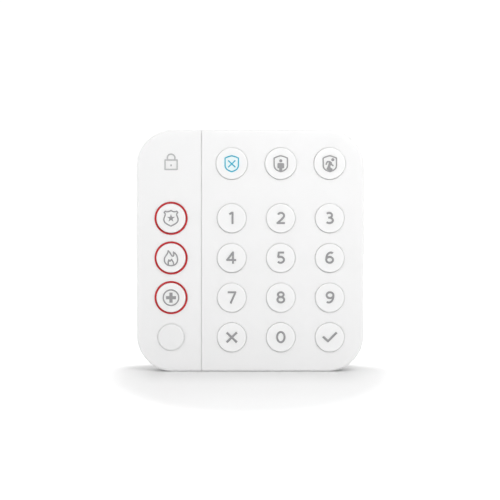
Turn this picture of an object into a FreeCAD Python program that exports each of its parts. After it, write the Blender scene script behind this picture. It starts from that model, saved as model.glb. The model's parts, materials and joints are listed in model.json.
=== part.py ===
import FreeCAD, Part
import math
import os

# Alarm keypad panel, in millimetres. X runs to the right of someone facing the keys, Y runs from the keys
# back towards the wall, and Z runs up. The origin is under the middle of the case, half way through it.

# Outer size of the case
CASE_WIDTH = 116.0
CASE_HEIGHT = 123.4
CORNER_RADIUS = 18.5
KEY_TOP_Y = -12.0
FACE_Y = -11.0
BACK_Y = 12.0
PARTING_Y = 3.0
FACE_THICKNESS = 2.0
WALL = 1.8
BACK_WALL = 2.0
FRONT_EDGE_RADIUS = 1.3
BACK_EDGE_RADIUS = 3.0
FACE_INSIDE_Y = FACE_Y + FACE_THICKNESS

# Half lap between the front shells and the rear housing, with a fine shadow line outside it
LAP_STEP = 0.9
LAP_GAP = 0.1
LAP_LENGTH = 1.2
SHADOW_LINE_DEPTH = 0.4
SHADOW_LINE_WIDTH = 0.3

# Seam between the side strip and the keypad panel
SEAM_X = -24.9
SEAM_GAP = 0.1
SEAM_CHAMFER = 0.12
SEAM_LAP_WIDTH = 3.2
SEAM_LAP_THICKNESS = 1.2

# Key layout
MIDDLE_COLUMN_X = 15.6
COLUMN_PITCH = 25.0
BOTTOM_ROW_Z = 17.5
ROW_PITCH = 20.25
MODE_ROW_Z = 106.2
STRIP_COLUMN_X = -40.4

# Key caps and the holes that guide them
CAP_RADIUS = 7.4
MODE_CAP_RADIUS = 8.05
CAP_EDGE_RADIUS = 0.45
CAP_ROOF = 1.8
CAP_SKIRT = 1.2
CAP_POST_RADIUS = 3.0
CAP_GAP = 0.13
COLLAR_WALL = 1.0
COLLAR_LENGTH = 1.0
FLANGE_PLAY = 0.05
FLANGE_OVERLAP = 0.7
FLANGE_THICKNESS = 1.0
KEYWAY_WIDTH = 1.6
KEYWAY_PLAY = 0.3
KEYWAY_RIB_LENGTH = 1.7
COLLAR_END_Y = FACE_INSIDE_Y + COLLAR_LENGTH
FLANGE_Y = COLLAR_END_Y + FLANGE_PLAY
CAP_END_Y = FLANGE_Y + FLANGE_THICKNESS

# Red surrounds of the three alert keys
SURROUND_RADIUS = 8.45
SURROUND_SINK = 0.1
SURROUND_SLOPE = 0.5
SURROUND_FLANGE_RADIUS = 9.8

# Motion sensor and its window
LENS_RADIUS = 6.8
LENS_HOLE_RADIUS = 6.86
LENS_CROWN = 0.4
LENS_SHOULDER = 0.9
LENS_SHOULDER_DROP = 0.32
LENS_FLANGE_RADIUS = 8.2
LENS_WALL = 1.0
SENSOR_CAN_RADIUS = 4.1
SENSOR_CAN_LENGTH = 3.0

# Circuit board and the dome mat in front of it
BOARD_FRONT_Y = -4.6
BOARD_THICKNESS = 1.6
BOARD_HALF_WIDTH = 48.0
BOARD_FOOT_Z = 6.0
BOARD_TOP_Z = 117.0
BOARD_CORNER_RADIUS = 12.0
BOARD_TAB = (40.0, 55.0, 40.0, 68.0)
BOARD_BACK_Y = BOARD_FRONT_Y + BOARD_THICKNESS
MAT_INSET = 1.5
MAT_WEB = 0.8
DOME_FOOT_RADIUS = 4.2
DOME_TOP_RADIUS = 3.0
DOME_WALL = 0.5
PILL_RADIUS = 1.5
PILL_THICKNESS = 0.6
LED_RISE = 5.6
LED_SIZE = (1.6, 0.6, 0.8)
LED_WINDOW_MARGIN = 0.3

# Screws
SCREW_LOW_Z = 27.6
SCREW_HIGH_Z = 92.2
CASE_SCREW_X = 51.5
CASE_BOSS_RADIUS = 3.0
CASE_BOSS_END_Y = 2.4
CASE_PILLAR_RADIUS = 3.4
CASE_SCREW_SEAT_Y = 6.0
CASE_HEAD_RADIUS = 2.4
CASE_HEAD_HEIGHT = 1.8
CASE_SHANK_RADIUS = 1.2
CASE_SHANK_LENGTH = 12.0
BOARD_BOSS_RADIUS = 2.8
BOARD_HEAD_RADIUS = 2.0
BOARD_HEAD_HEIGHT = 1.3
BOARD_SHANK_RADIUS = 0.95
BOARD_SHANK_LENGTH = 5.2
THREAD_PLAY = 0.05
HEAD_PLAY = 0.2
CLEARANCE_HOLE_PLAY = 0.15

# Recess in the back for the wall bracket, which slides down out of its four hooks
BRACKET_HALF_WIDTH = 36.0
BRACKET_FOOT_Z = 24.0
BRACKET_TOP_Z = 100.0
BRACKET_CORNER_RADIUS = 7.7
BRACKET_PLAY = 0.3
BRACKET_TRAVEL = 6.0
RECESS_DEPTH = 3.0
RECESS_FLOOR_Y = BACK_Y - RECESS_DEPTH
RECESS_INSIDE_Y = RECESS_FLOOR_Y - BACK_WALL
HOOK_X = 31.0
HOOK_FOOTS_Z = (37.0, 85.0)
HOOK_WIDTH = 5.0
HOOK_STEM = 3.0
HOOK_HEIGHT = 7.0
HOOK_LIP = 1.7
HOOK_SLOT_PLAY = 0.4
BRACKET_SCREW_X = 22.0
BRACKET_SCREWS_Z = (34.0, 90.0)
BRACKET_HOLE_RADIUS = 2.2
BRACKET_SINK_RADIUS = 3.8
BRACKET_SINK_DEPTH = 1.5
BRACKET_PAD = (-14.0, 14.0, 42.0, 82.0)
BRACKET_PAD_DEPTH = 0.8

# Speaker, which faces out through the left wall
SPEAKER_Y = (-8.3, 0.7)
SPEAKER_Z = (43.0, 77.0)
SPEAKER_RIM = 1.3
GASKET_THICKNESS = 0.6
SPEAKER_FRAME_DEPTH = 5.0
SPEAKER_FRAME_WALL = 0.8
SLOT_COUNT = 8
SLOT_PITCH = 3.2
SLOT_RADIUS = 0.65
SLOT_Y = (-6.6, -1.0)

# Battery
CELL_HALF_WIDTH = 25.0
CELL_FOOT_Z = 44.0
CELL_TOP_Z = 84.0
CELL_Y = (0.2, 6.4)
CELL_EDGE_RADIUS = 1.6
CELL_TAB_HEIGHT = 3.0
LEAD_X = 18.0
LEAD_SPACING = 2.0
LEAD_RADIUS = 0.55
PLUG_HALF_WIDTH = 3.2
PLUG_Y = (-2.2, 0.2)
PLUG_Z = (93.5, 100.0)
SOCKET_WALL = 0.6

# Charging socket and reset switch, at the right edge of the board
PORT_Y = -1.6
PORT_Z = 48.0
PORT_SHELL_X = (50.6, 56.0)
PORT_SHELL_SIZE = (2.8, 7.6)
PORT_SHELL_WALL = 0.3
PORT_HOLE = (4.8, 9.4)
PORT_POCKET = (8.0, 12.4)
PORT_POCKET_DEPTH = 0.8
RESET_Y = -2.0
RESET_Z = 62.0
RESET_HOLE_RADIUS = 0.8

CASE_SCREWS = [(side * CASE_SCREW_X, z) for side in (-1, 1) for z in (SCREW_LOW_Z, SCREW_HIGH_Z)]
BOARD_SCREW_COLUMNS = [MIDDLE_COLUMN_X + side * COLUMN_PITCH / 2 for side in (-1, 1)]
PANEL_BOARD_SCREWS = [(x, z) for x in BOARD_SCREW_COLUMNS for z in (SCREW_LOW_Z, SCREW_HIGH_Z)]
STRIP_BOARD_SCREWS = [(STRIP_COLUMN_X, SCREW_HIGH_Z)]
BOARD_SCREWS = PANEL_BOARD_SCREWS + STRIP_BOARD_SCREWS


def point(x, y, z):
    return FreeCAD.Vector(x, y, z)


def column_x(column):
    return MIDDLE_COLUMN_X + (column - 1) * COLUMN_PITCH


def row_z(row):
    return BOTTOM_ROW_Z + row * ROW_PITCH


def number_keys():
    """Name, X and Z of the twelve keys of the number pad."""
    rows = (("cancel", "0", "enter"), ("7", "8", "9"), ("4", "5", "6"), ("1", "2", "3"))
    return [
        (f"key_{name}", column_x(column), row_z(row))
        for row, names in enumerate(rows)
        for column, name in enumerate(names)
    ]


def mode_keys():
    names = ("disarm", "home", "away")
    return [(f"key_{name}", column_x(column), MODE_ROW_Z) for column, name in enumerate(names)]


def alert_keys():
    names = ("medical", "fire", "police")
    return [(f"key_{name}", STRIP_COLUMN_X, row_z(row + 1)) for row, name in enumerate(names)]


def all_keys():
    return number_keys() + mode_keys() + alert_keys()


def outline(u0, u1, v0, v1, radius, place):
    """Closed wire of a rectangle with round corners. place turns its two sizes into a point."""
    corners = (
        (u1 - radius, v0 + radius, -90),
        (u1 - radius, v1 - radius, 0),
        (u0 + radius, v1 - radius, 90),
        (u0 + radius, v0 + radius, 180),
    )
    arcs = []
    for u, v, start in corners:
        turns = [math.radians(start + turn) for turn in (0, 45, 90)]
        arcs.append([place(u + radius * math.cos(t), v + radius * math.sin(t)) for t in turns])
    edges = []
    for here, after in zip(arcs, arcs[1:] + arcs[:1]):
        edges.append(Part.Arc(*here).toShape())
        if here[2].distanceToPoint(after[0]) > 1e-6:
            edges.append(Part.makeLine(here[2], after[0]))
    return Part.Wire(edges)


def face_prism(x0, x1, z0, z1, radius, y0, y1):
    """Rectangle with round corners as seen from the front, from depth y0 to depth y1."""
    wire = outline(x0, x1, z0, z1, radius, lambda u, v: point(u, y0, v))
    return Part.Face(wire).extrude(point(0, y1 - y0, 0))


def side_prism(y0, y1, z0, z1, radius, x0, x1):
    """Rectangle with round corners as seen from the side, from x0 to x1."""
    wire = outline(y0, y1, z0, z1, radius, lambda u, v: point(x0, u, v))
    return Part.Face(wire).extrude(point(x1 - x0, 0, 0))


def block(x0, x1, y0, y1, z0, z1):
    return Part.makeBox(x1 - x0, y1 - y0, z1 - z0, point(x0, y0, z0))


def disc(x, z, radius, y0, y1):
    return Part.makeCylinder(radius, y1 - y0, point(x, y0, z), point(0, 1, 0))


def cone(x, z, radius0, radius1, y0, y1):
    return Part.makeCone(radius0, radius1, y1 - y0, point(x, y0, z), point(0, 1, 0))


def case_prism(inset, y0, y1):
    """The case's outline, pulled in by inset, from depth y0 to depth y1."""
    half = CASE_WIDTH / 2 - inset
    return face_prism(-half, half, inset, CASE_HEIGHT - inset, CORNER_RADIUS - inset, y0, y1)


def edges_at_depth(shape, y):
    boxes = [(edge, edge.BoundBox) for edge in shape.Edges]
    return [edge for edge, box in boxes if abs(box.YMin - y) < 1e-4 and abs(box.YMax - y) < 1e-4]


def turned(x, z, profile):
    """Solid of revolution about the line through x and z along Y. profile is edges in radius and depth."""
    solid = Part.Face(Part.Wire(profile)).revolve(point(0, 0, 0), point(0, 1, 0), 360)
    solid.translate(point(x, 0, z))
    return solid


def polyline(points):
    pairs = zip(points, points[1:])
    return [Part.makeLine(point(r0, y0, 0), point(r1, y1, 0)) for (r0, y0), (r1, y1) in pairs]


def bent_wire(points, bend_radius, wire_radius):
    """Round wire through points, with an arc tangent to both runs at each inner one."""
    edges = []
    start = points[0]
    for before, corner, after in zip(points, points[1:], points[2:]):
        incoming = (corner - before).normalize()
        outgoing = (after - corner).normalize()
        half_turn = incoming.getAngle(outgoing) / 2
        reach = bend_radius * math.tan(half_turn)
        inward = (outgoing - incoming).normalize()
        arc_start = corner - incoming * reach
        arc_end = corner + outgoing * reach
        arc_middle = corner + inward * (bend_radius / math.cos(half_turn) - bend_radius)
        edges.append(Part.makeLine(start, arc_start))
        edges.append(Part.Arc(arc_start, arc_middle, arc_end).toShape())
        start = arc_end
    edges.append(Part.makeLine(start, points[-1]))
    section = Part.makeCircle(wire_radius, points[0], points[1] - points[0])
    return Part.Wire(edges).makePipeShell([Part.Wire(section)], True, True)


def hole_radius(cap_radius):
    return cap_radius + CAP_GAP


def collar(x, z, cap_radius):
    """Collar behind a key hole, with the rib that keeps the key upright."""
    inner = hole_radius(cap_radius)
    outer = inner + COLLAR_WALL
    rib_end = COLLAR_END_Y + KEYWAY_RIB_LENGTH
    rib = block(
        x - KEYWAY_WIDTH / 2,
        x + KEYWAY_WIDTH / 2,
        FACE_INSIDE_Y,
        rib_end,
        z - outer + 0.05,
        z - inner - KEYWAY_PLAY,
    )
    return disc(x, z, outer, FACE_INSIDE_Y, COLLAR_END_Y).fuse(rib)


def key_cap(x, z, cap_radius):
    """Round cap with a hollow skirt, a post for its dome, and a flange that stops it behind its hole."""
    edge = CAP_EDGE_RADIUS
    flange_radius = hole_radius(cap_radius) + FLANGE_OVERLAP
    cavity_radius = cap_radius - CAP_SKIRT
    cavity_y = KEY_TOP_Y + CAP_ROOF
    middle = edge * (1 - math.sqrt(0.5))
    rim = Part.Arc(
        point(cap_radius - edge, KEY_TOP_Y, 0),
        point(cap_radius - middle, KEY_TOP_Y + middle, 0),
        point(cap_radius, KEY_TOP_Y + edge, 0),
    ).toShape()
    below_rim = polyline(
        [
            (cap_radius, KEY_TOP_Y + edge),
            (cap_radius, FLANGE_Y),
            (flange_radius, FLANGE_Y),
            (flange_radius, CAP_END_Y),
            (cavity_radius, CAP_END_Y),
            (cavity_radius, cavity_y),
            (CAP_POST_RADIUS, cavity_y),
            (CAP_POST_RADIUS, CAP_END_Y),
            (0, CAP_END_Y),
            (0, KEY_TOP_Y),
            (cap_radius - edge, KEY_TOP_Y),
        ]
    )
    keyway = block(
        x - KEYWAY_WIDTH / 2 - KEYWAY_PLAY,
        x + KEYWAY_WIDTH / 2 + KEYWAY_PLAY,
        FLANGE_Y - 1,
        CAP_END_Y + 1,
        z - flange_radius - 1,
        z - cap_radius - 0.05,
    )
    return turned(x, z, [rim] + below_rim).cut(keyway)


def seam_wedges():
    """Fine chamfers along both lips of the seam, over the face, the top and the foot of the case."""
    reach = SEAM_GAP / 2 + SEAM_CHAMFER
    left = SEAM_X - reach
    right = SEAM_X + reach
    face_points = [(left, FACE_Y), (right, FACE_Y), (SEAM_X, FACE_Y + reach), (left, FACE_Y)]
    foot_points = [(left, 0), (right, 0), (SEAM_X, reach), (left, 0)]
    top_points = [(x, CASE_HEIGHT - z) for x, z in foot_points]
    on_face = Part.makePolygon([point(x, y, 0) for x, y in face_points])
    wedges = [Part.Face(on_face).extrude(point(0, 0, CASE_HEIGHT))]
    for points in (foot_points, top_points):
        triangle = Part.makePolygon([point(x, FACE_Y, z) for x, z in points])
        wedges.append(Part.Face(triangle).extrude(point(0, PARTING_Y - FACE_Y, 0)))
    return wedges


def front_shell():
    """Face and walls of both front pieces in one, before the seam divides them."""
    body = case_prism(0, FACE_Y, PARTING_Y)
    body = body.makeFillet(FRONT_EDGE_RADIUS, edges_at_depth(body, FACE_Y))
    lap = case_prism(LAP_STEP + LAP_GAP, PARTING_Y, PARTING_Y + LAP_LENGTH)
    hollow = case_prism(WALL, FACE_INSIDE_Y, PARTING_Y + LAP_LENGTH)
    return body.fuse(lap).cut([hollow] + seam_wedges())


def case_boss(x, z):
    """Boss for a case screw, tied to the side wall by a gusset."""
    wall_x = math.copysign(CASE_WIDTH / 2 - WALL / 2, x)
    gusset = block(min(x, wall_x), max(x, wall_x), FACE_INSIDE_Y, -1.0, z - 0.6, z + 0.6)
    return disc(x, z, CASE_BOSS_RADIUS, FACE_INSIDE_Y, CASE_BOSS_END_Y).fuse(gusset)


def case_screw_bore(x, z):
    radius = CASE_SHANK_RADIUS + THREAD_PLAY
    return disc(x, z, radius, CASE_SCREW_SEAT_Y - CASE_SHANK_LENGTH - 1, CASE_BOSS_END_Y)


def board_boss(x, z):
    return disc(x, z, BOARD_BOSS_RADIUS, FACE_INSIDE_Y, BOARD_FRONT_Y)


def board_screw_bore(x, z):
    radius = BOARD_SHANK_RADIUS + THREAD_PLAY
    return disc(x, z, radius, BOARD_BACK_Y - BOARD_SHANK_LENGTH - 0.4, BOARD_FRONT_Y)


def seam_lap():
    """Tongue of the keypad panel that lines the side strip behind the seam, all round the section."""
    left = SEAM_X - SEAM_LAP_WIDTH
    right = SEAM_X + SEAM_GAP / 2 + 2
    lining = case_prism(WALL, FACE_INSIDE_Y, PARTING_Y - 1)
    inside = case_prism(WALL + SEAM_LAP_THICKNESS, FACE_INSIDE_Y + SEAM_LAP_THICKNESS, PARTING_Y)
    return lining.cut(inside).common(block(left, right, FACE_Y, PARTING_Y, -1, CASE_HEIGHT + 1))


def port_openings():
    """Hole for the charging plug in the right wall, in a shallow pocket."""
    outside = CASE_WIDTH / 2
    hole_y, hole_z = (size / 2 for size in PORT_HOLE)
    pocket_y, pocket_z = (size / 2 for size in PORT_POCKET)
    hole = side_prism(
        PORT_Y - hole_y,
        PORT_Y + hole_y,
        PORT_Z - hole_z,
        PORT_Z + hole_z,
        1.2,
        outside - WALL - 1,
        outside + 1,
    )
    pocket = side_prism(
        PORT_Y - pocket_y,
        PORT_Y + pocket_y,
        PORT_Z - pocket_z,
        PORT_Z + pocket_z,
        2.4,
        outside - PORT_POCKET_DEPTH,
        outside + 1,
    )
    return [hole, pocket]


def reset_hole():
    outside = CASE_WIDTH / 2
    start = point(outside - WALL - 1, RESET_Y, RESET_Z)
    return Part.makeCylinder(RESET_HOLE_RADIUS, WALL + 2, start, point(1, 0, 0))


def keypad_panel(shell):
    """Right-hand front piece: the face round fifteen keys and its walls."""
    right_of_seam = block(SEAM_X + SEAM_GAP / 2, CASE_WIDTH, FACE_Y - 1, BACK_Y, -1, CASE_HEIGHT + 1)
    caps = [(x, z, CAP_RADIUS) for _, x, z in number_keys()]
    caps += [(x, z, MODE_CAP_RADIUS) for _, x, z in mode_keys()]
    case_screws = [(x, z) for x, z in CASE_SCREWS if x > 0]
    added = [seam_lap()]
    added += [collar(x, z, radius) for x, z, radius in caps]
    added += [case_boss(x, z) for x, z in case_screws]
    added += [board_boss(x, z) for x, z in PANEL_BOARD_SCREWS]
    removed = [disc(x, z, hole_radius(radius), FACE_Y - 1, COLLAR_END_Y + 0.01) for x, z, radius in caps]
    removed += [case_screw_bore(x, z) for x, z in case_screws]
    removed += [board_screw_bore(x, z) for x, z in PANEL_BOARD_SCREWS]
    removed += port_openings()
    removed.append(reset_hole())
    return shell.common(right_of_seam).fuse(added).cut(removed)


def speaker_slots():
    """Row of upright slots through the left wall in front of the speaker."""
    outside = -CASE_WIDTH / 2
    middle = sum(SPEAKER_Z) / 2
    slots = []
    for index in range(SLOT_COUNT):
        z = middle + (index - (SLOT_COUNT - 1) / 2) * SLOT_PITCH
        foot, top = z - SLOT_RADIUS, z + SLOT_RADIUS
        slots.append(side_prism(*SLOT_Y, foot, top, SLOT_RADIUS, outside - 1, outside + WALL + 1))
    return slots


def side_strip(shell):
    """Left-hand front piece: the face round the alert keys and the sensor window, and its walls."""
    left_of_seam = block(-CASE_WIDTH, SEAM_X - SEAM_GAP / 2, FACE_Y - 1, BACK_Y, -1, CASE_HEIGHT + 1)
    case_screws = [(x, z) for x, z in CASE_SCREWS if x < 0]
    added = [case_boss(x, z) for x, z in case_screws]
    added += [board_boss(x, z) for x, z in STRIP_BOARD_SCREWS]
    seat_radius = SURROUND_RADIUS + 0.05
    removed = [disc(x, z, seat_radius, FACE_Y - 1, FACE_INSIDE_Y + 1) for _, x, z in alert_keys()]
    removed.append(disc(STRIP_COLUMN_X, BOTTOM_ROW_Z, LENS_HOLE_RADIUS, FACE_Y - 1, FACE_INSIDE_Y + 1))
    removed += [case_screw_bore(x, z) for x, z in case_screws]
    removed += [board_screw_bore(x, z) for x, z in STRIP_BOARD_SCREWS]
    removed += speaker_slots()
    return shell.common(left_of_seam).fuse(added).cut(removed)


def alert_surround(x, z):
    """Red collar of an alert key. Its front slopes in towards the key, and a flange is glued behind it."""
    inner = hole_radius(CAP_RADIUS)
    rib = block(
        x - KEYWAY_WIDTH / 2,
        x + KEYWAY_WIDTH / 2,
        FACE_INSIDE_Y,
        COLLAR_END_Y + KEYWAY_RIB_LENGTH,
        z - SURROUND_RADIUS,
        z - inner - KEYWAY_PLAY,
    )
    front_y = FACE_Y + SURROUND_SINK
    tube = turned(
        x,
        z,
        polyline(
            [
                (SURROUND_RADIUS, front_y),
                (SURROUND_RADIUS, COLLAR_END_Y),
                (inner, COLLAR_END_Y),
                (inner, front_y + SURROUND_SLOPE),
                (SURROUND_RADIUS, front_y),
            ]
        ),
    )
    flange = disc(x, z, SURROUND_FLANGE_RADIUS, FACE_INSIDE_Y, COLLAR_END_Y)
    return tube.fuse([flange, rib]).cut(disc(x, z, inner, FACE_Y - 1, COLLAR_END_Y + 0.01))


def sensor_lens():
    """Crowned blank window of the motion sensor, with a flange behind the face."""
    flange_y = FACE_INSIDE_Y
    flange_end = FACE_INSIDE_Y + 0.8
    inner_radius = LENS_RADIUS - LENS_WALL
    inner_y = FACE_Y + LENS_WALL
    crown_y = FACE_Y - LENS_CROWN
    shoulder_radius = LENS_RADIUS - LENS_SHOULDER
    shoulder_y = FACE_Y - LENS_SHOULDER_DROP
    crown = Part.Arc(
        point(0, crown_y, 0),
        point(shoulder_radius / 2, crown_y + (shoulder_y - crown_y) * 0.26, 0),
        point(shoulder_radius, shoulder_y, 0),
    ).toShape()
    shoulder = Part.Arc(
        point(shoulder_radius, shoulder_y, 0),
        point(LENS_RADIUS - LENS_SHOULDER * 0.4, FACE_Y - LENS_SHOULDER_DROP * 0.6, 0),
        point(LENS_RADIUS, FACE_Y, 0),
    ).toShape()
    rest = polyline(
        [
            (LENS_RADIUS, FACE_Y),
            (LENS_RADIUS, flange_y),
            (LENS_FLANGE_RADIUS, flange_y),
            (LENS_FLANGE_RADIUS, flange_end),
            (inner_radius, flange_end),
            (inner_radius, inner_y),
            (0, inner_y),
            (0, crown_y),
        ]
    )
    return turned(STRIP_COLUMN_X, BOTTOM_ROW_Z, [crown, shoulder] + rest)


def motion_sensor():
    """Infra-red detector in a round metal can with a square window, on the front of the board."""
    x = STRIP_COLUMN_X
    z = BOTTOM_ROW_Z
    can_y = BOARD_FRONT_Y - SENSOR_CAN_LENGTH
    brim = disc(x, z, SENSOR_CAN_RADIUS + 0.5, BOARD_FRONT_Y - 0.5, BOARD_FRONT_Y)
    window = block(x - 2.0, x + 2.0, can_y - 1, can_y + 0.3, z - 1.5, z + 1.5)
    return disc(x, z, SENSOR_CAN_RADIUS, can_y, BOARD_FRONT_Y).fuse(brim).cut(window)


def rear_housing():
    """Back shell: walls, back, the bracket's recess and hook slots, and the case screws' pillars."""
    body = case_prism(0, PARTING_Y, BACK_Y)
    body = body.makeFillet(BACK_EDGE_RADIUS, edges_at_depth(body, BACK_Y))
    shadow_line = case_prism(0, PARTING_Y, PARTING_Y + SHADOW_LINE_WIDTH).cut(
        case_prism(SHADOW_LINE_DEPTH, PARTING_Y, PARTING_Y + SHADOW_LINE_WIDTH)
    )
    lap_room = case_prism(LAP_STEP, PARTING_Y, PARTING_Y + LAP_LENGTH + 0.2)
    recess_x = BRACKET_HALF_WIDTH + BRACKET_PLAY
    recess_foot = BRACKET_FOOT_Z - BRACKET_TRAVEL - BRACKET_PLAY - 0.2
    recess_top = BRACKET_TOP_Z + BRACKET_PLAY
    recess = face_prism(-recess_x, recess_x, recess_foot, recess_top, 8.0, RECESS_FLOOR_Y, BACK_Y + 1)
    step = face_prism(
        -recess_x - BACK_WALL,
        recess_x + BACK_WALL,
        recess_foot - BACK_WALL,
        recess_top + BACK_WALL,
        8.0 + BACK_WALL,
        RECESS_INSIDE_Y,
        BACK_Y,
    )
    hollow = case_prism(WALL, PARTING_Y, BACK_Y - BACK_WALL).cut(step)
    pillars = [disc(x, z, CASE_PILLAR_RADIUS, CASE_BOSS_END_Y + 0.1, BACK_Y - 1) for x, z in CASE_SCREWS]
    removed = []
    shank_room = CASE_SHANK_RADIUS + CLEARANCE_HOLE_PLAY
    for x, z in CASE_SCREWS:
        removed.append(disc(x, z, CASE_HEAD_RADIUS + HEAD_PLAY, CASE_SCREW_SEAT_Y, BACK_Y + 1))
        removed.append(disc(x, z, shank_room, CASE_BOSS_END_Y, CASE_SCREW_SEAT_Y))
    removed += [hook_slot(side * HOOK_X, z) for side in (-1, 1) for z in HOOK_FOOTS_Z]
    shell = body.cut([shadow_line, lap_room, hollow, recess])
    return shell.fuse(pillars + cell_cradle()).cut(removed)


def cell_cradle():
    """Low ribs on the inside of the housing that keep the battery from creeping."""
    x = CELL_HALF_WIDTH + 0.4
    y = RECESS_INSIDE_Y - 2.5
    end = RECESS_INSIDE_Y + 0.5
    foot = CELL_FOOT_Z - 0.4
    ribs = []
    for z in (CELL_FOOT_Z + 2, CELL_TOP_Z - 12):
        ribs.append(block(x, x + 1.2, y, end, z, z + 10))
        ribs.append(block(-x - 1.2, -x, y, end, z, z + 10))
    for start in (-18, 8):
        ribs.append(block(start, start + 10, y, end, foot - 1.2, foot))
    return ribs


def hook_slot(x, z):
    """Slot in the recess floor, tall enough to let a hook out once the bracket has slid down."""
    half = HOOK_WIDTH / 2 + HOOK_SLOT_PLAY
    foot = z - BRACKET_TRAVEL - HOOK_SLOT_PLAY
    top = z + HOOK_STEM + HOOK_SLOT_PLAY
    return face_prism(x - half, x + half, foot, top, 0.4, RECESS_INSIDE_Y - 1, RECESS_FLOOR_Y + 1)


def bracket_hook(x, z):
    """Stem through the recess floor and a lip that stands up behind it."""
    half = HOOK_WIDTH / 2
    lip_end = RECESS_INSIDE_Y - BRACKET_PLAY
    lip = block(x - half, x + half, lip_end - HOOK_LIP, lip_end, z, z + HOOK_HEIGHT)
    lead_in = [edge for edge in lip.Edges if edge.BoundBox.ZMin > z + HOOK_HEIGHT - 0.01]
    lip = lip.makeChamfer(0.6, [edge for edge in lead_in if edge.BoundBox.XLength > 1])
    stem = block(x - half, x + half, lip_end - HOOK_LIP, RECESS_FLOOR_Y + 1, z, z + HOOK_STEM)
    return lip.fuse(stem)


def wall_bracket():
    """Plate screwed to the wall, which fills the recess flush with the back of the case."""
    front_y = RECESS_FLOOR_Y + BRACKET_PLAY
    plate = face_prism(
        -BRACKET_HALF_WIDTH,
        BRACKET_HALF_WIDTH,
        BRACKET_FOOT_Z,
        BRACKET_TOP_Z,
        BRACKET_CORNER_RADIUS,
        front_y,
        BACK_Y,
    )
    hooks = [bracket_hook(side * HOOK_X, z) for side in (-1, 1) for z in HOOK_FOOTS_Z]
    x0, x1, z0, z1 = BRACKET_PAD
    removed = [face_prism(x0, x1, z0, z1, 4.0, BACK_Y - BRACKET_PAD_DEPTH, BACK_Y + 1)]
    for x in (-BRACKET_SCREW_X, BRACKET_SCREW_X):
        for z in BRACKET_SCREWS_Z:
            removed.append(disc(x, z, BRACKET_HOLE_RADIUS, front_y, BACK_Y))
            removed.append(
                cone(x, z, BRACKET_SINK_RADIUS, BRACKET_HOLE_RADIUS, front_y, front_y + BRACKET_SINK_DEPTH)
            )
    return plate.fuse(hooks).cut(removed)


def main_board():
    """Circuit board, with a tab at its right edge for the charging socket and the reset switch."""
    body = face_prism(
        -BOARD_HALF_WIDTH,
        BOARD_HALF_WIDTH,
        BOARD_FOOT_Z,
        BOARD_TOP_Z,
        BOARD_CORNER_RADIUS,
        BOARD_FRONT_Y,
        BOARD_BACK_Y,
    )
    x0, x1, z0, z1 = BOARD_TAB
    tab = face_prism(x0, x1, z0, z1, 1.5, BOARD_FRONT_Y, BOARD_BACK_Y)
    holes = [disc(x, z, 1.2, BOARD_FRONT_Y, BOARD_BACK_Y) for x, z in BOARD_SCREWS]
    return body.fuse(tab).cut(holes)


def dome_body(x, z):
    """Outside of one rubber dome: a cone that stands on the web."""
    profile = [
        (0, CAP_END_Y),
        (DOME_TOP_RADIUS, CAP_END_Y),
        (DOME_FOOT_RADIUS, BOARD_FRONT_Y - MAT_WEB),
        (DOME_FOOT_RADIUS, BOARD_FRONT_Y),
        (0, BOARD_FRONT_Y),
        (0, CAP_END_Y),
    ]
    return turned(x, z, polyline(profile))


def dome_room(x, z):
    """Hollow under one dome, which leaves a contact pill standing under its crown."""
    ceiling_y = CAP_END_Y + DOME_WALL
    pill_y = ceiling_y + PILL_THICKNESS
    foot_radius = DOME_FOOT_RADIUS - DOME_WALL
    profile = [
        (0, pill_y),
        (PILL_RADIUS, pill_y),
        (PILL_RADIUS, ceiling_y),
        (DOME_TOP_RADIUS - DOME_WALL, ceiling_y),
        (foot_radius, BOARD_FRONT_Y - MAT_WEB / 2),
        (foot_radius, BOARD_FRONT_Y + 1),
        (0, BOARD_FRONT_Y + 1),
        (0, pill_y),
    ]
    return turned(x, z, polyline(profile))


def dome_mat():
    """Silicone mat over the board: a thin web, one dome under each key, and a window for each lamp."""
    web_y = BOARD_FRONT_Y - MAT_WEB
    half = BOARD_HALF_WIDTH - MAT_INSET
    foot = BOARD_FOOT_Z + MAT_INSET
    top = BOARD_TOP_Z - MAT_INSET
    web = face_prism(-half, half, foot, top, BOARD_CORNER_RADIUS - MAT_INSET, web_y, BOARD_FRONT_Y)
    half_x = LED_SIZE[0] / 2 + LED_WINDOW_MARGIN
    half_z = LED_SIZE[2] / 2 + LED_WINDOW_MARGIN
    removed = [dome_room(x, z) for _, x, z in all_keys()]
    removed += [disc(x, z, BOARD_BOSS_RADIUS + 0.4, web_y - 1, BOARD_FRONT_Y + 1) for x, z in BOARD_SCREWS]
    sensor_room = SENSOR_CAN_RADIUS + 1.2
    removed.append(disc(STRIP_COLUMN_X, BOTTOM_ROW_Z, sensor_room, web_y - 1, BOARD_FRONT_Y + 1))
    for _, x, z in all_keys():
        lamp_z = z + LED_RISE
        removed.append(
            block(x - half_x, x + half_x, web_y - 1, BOARD_FRONT_Y + 1, lamp_z - half_z, lamp_z + half_z)
        )
    return web.fuse([dome_body(x, z) for _, x, z in all_keys()]).cut(removed)


def key_leds():
    """One small lamp behind each key cap."""
    width, depth, height = LED_SIZE
    lamps = []
    for _, x, z in all_keys():
        left = x - width / 2
        foot = z + LED_RISE - height / 2
        lamps.append(block(left, left + width, BOARD_FRONT_Y - depth, BOARD_FRONT_Y, foot, foot + height))
    return Part.makeCompound(lamps)


def radio_shield():
    """Folded metal lid over the radio, open towards the board."""
    x0, x1, z0, z1 = -24.0, 0.0, 94.0, 112.0
    depth = 1.8
    sheet = 0.2
    lid = face_prism(x0, x1, z0, z1, 0.8, BOARD_BACK_Y, BOARD_BACK_Y + depth)
    room = face_prism(
        x0 + sheet, x1 - sheet, z0 + sheet, z1 - sheet, 0.6, BOARD_BACK_Y, BOARD_BACK_Y + depth - sheet
    )
    return lid.cut(room)


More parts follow.
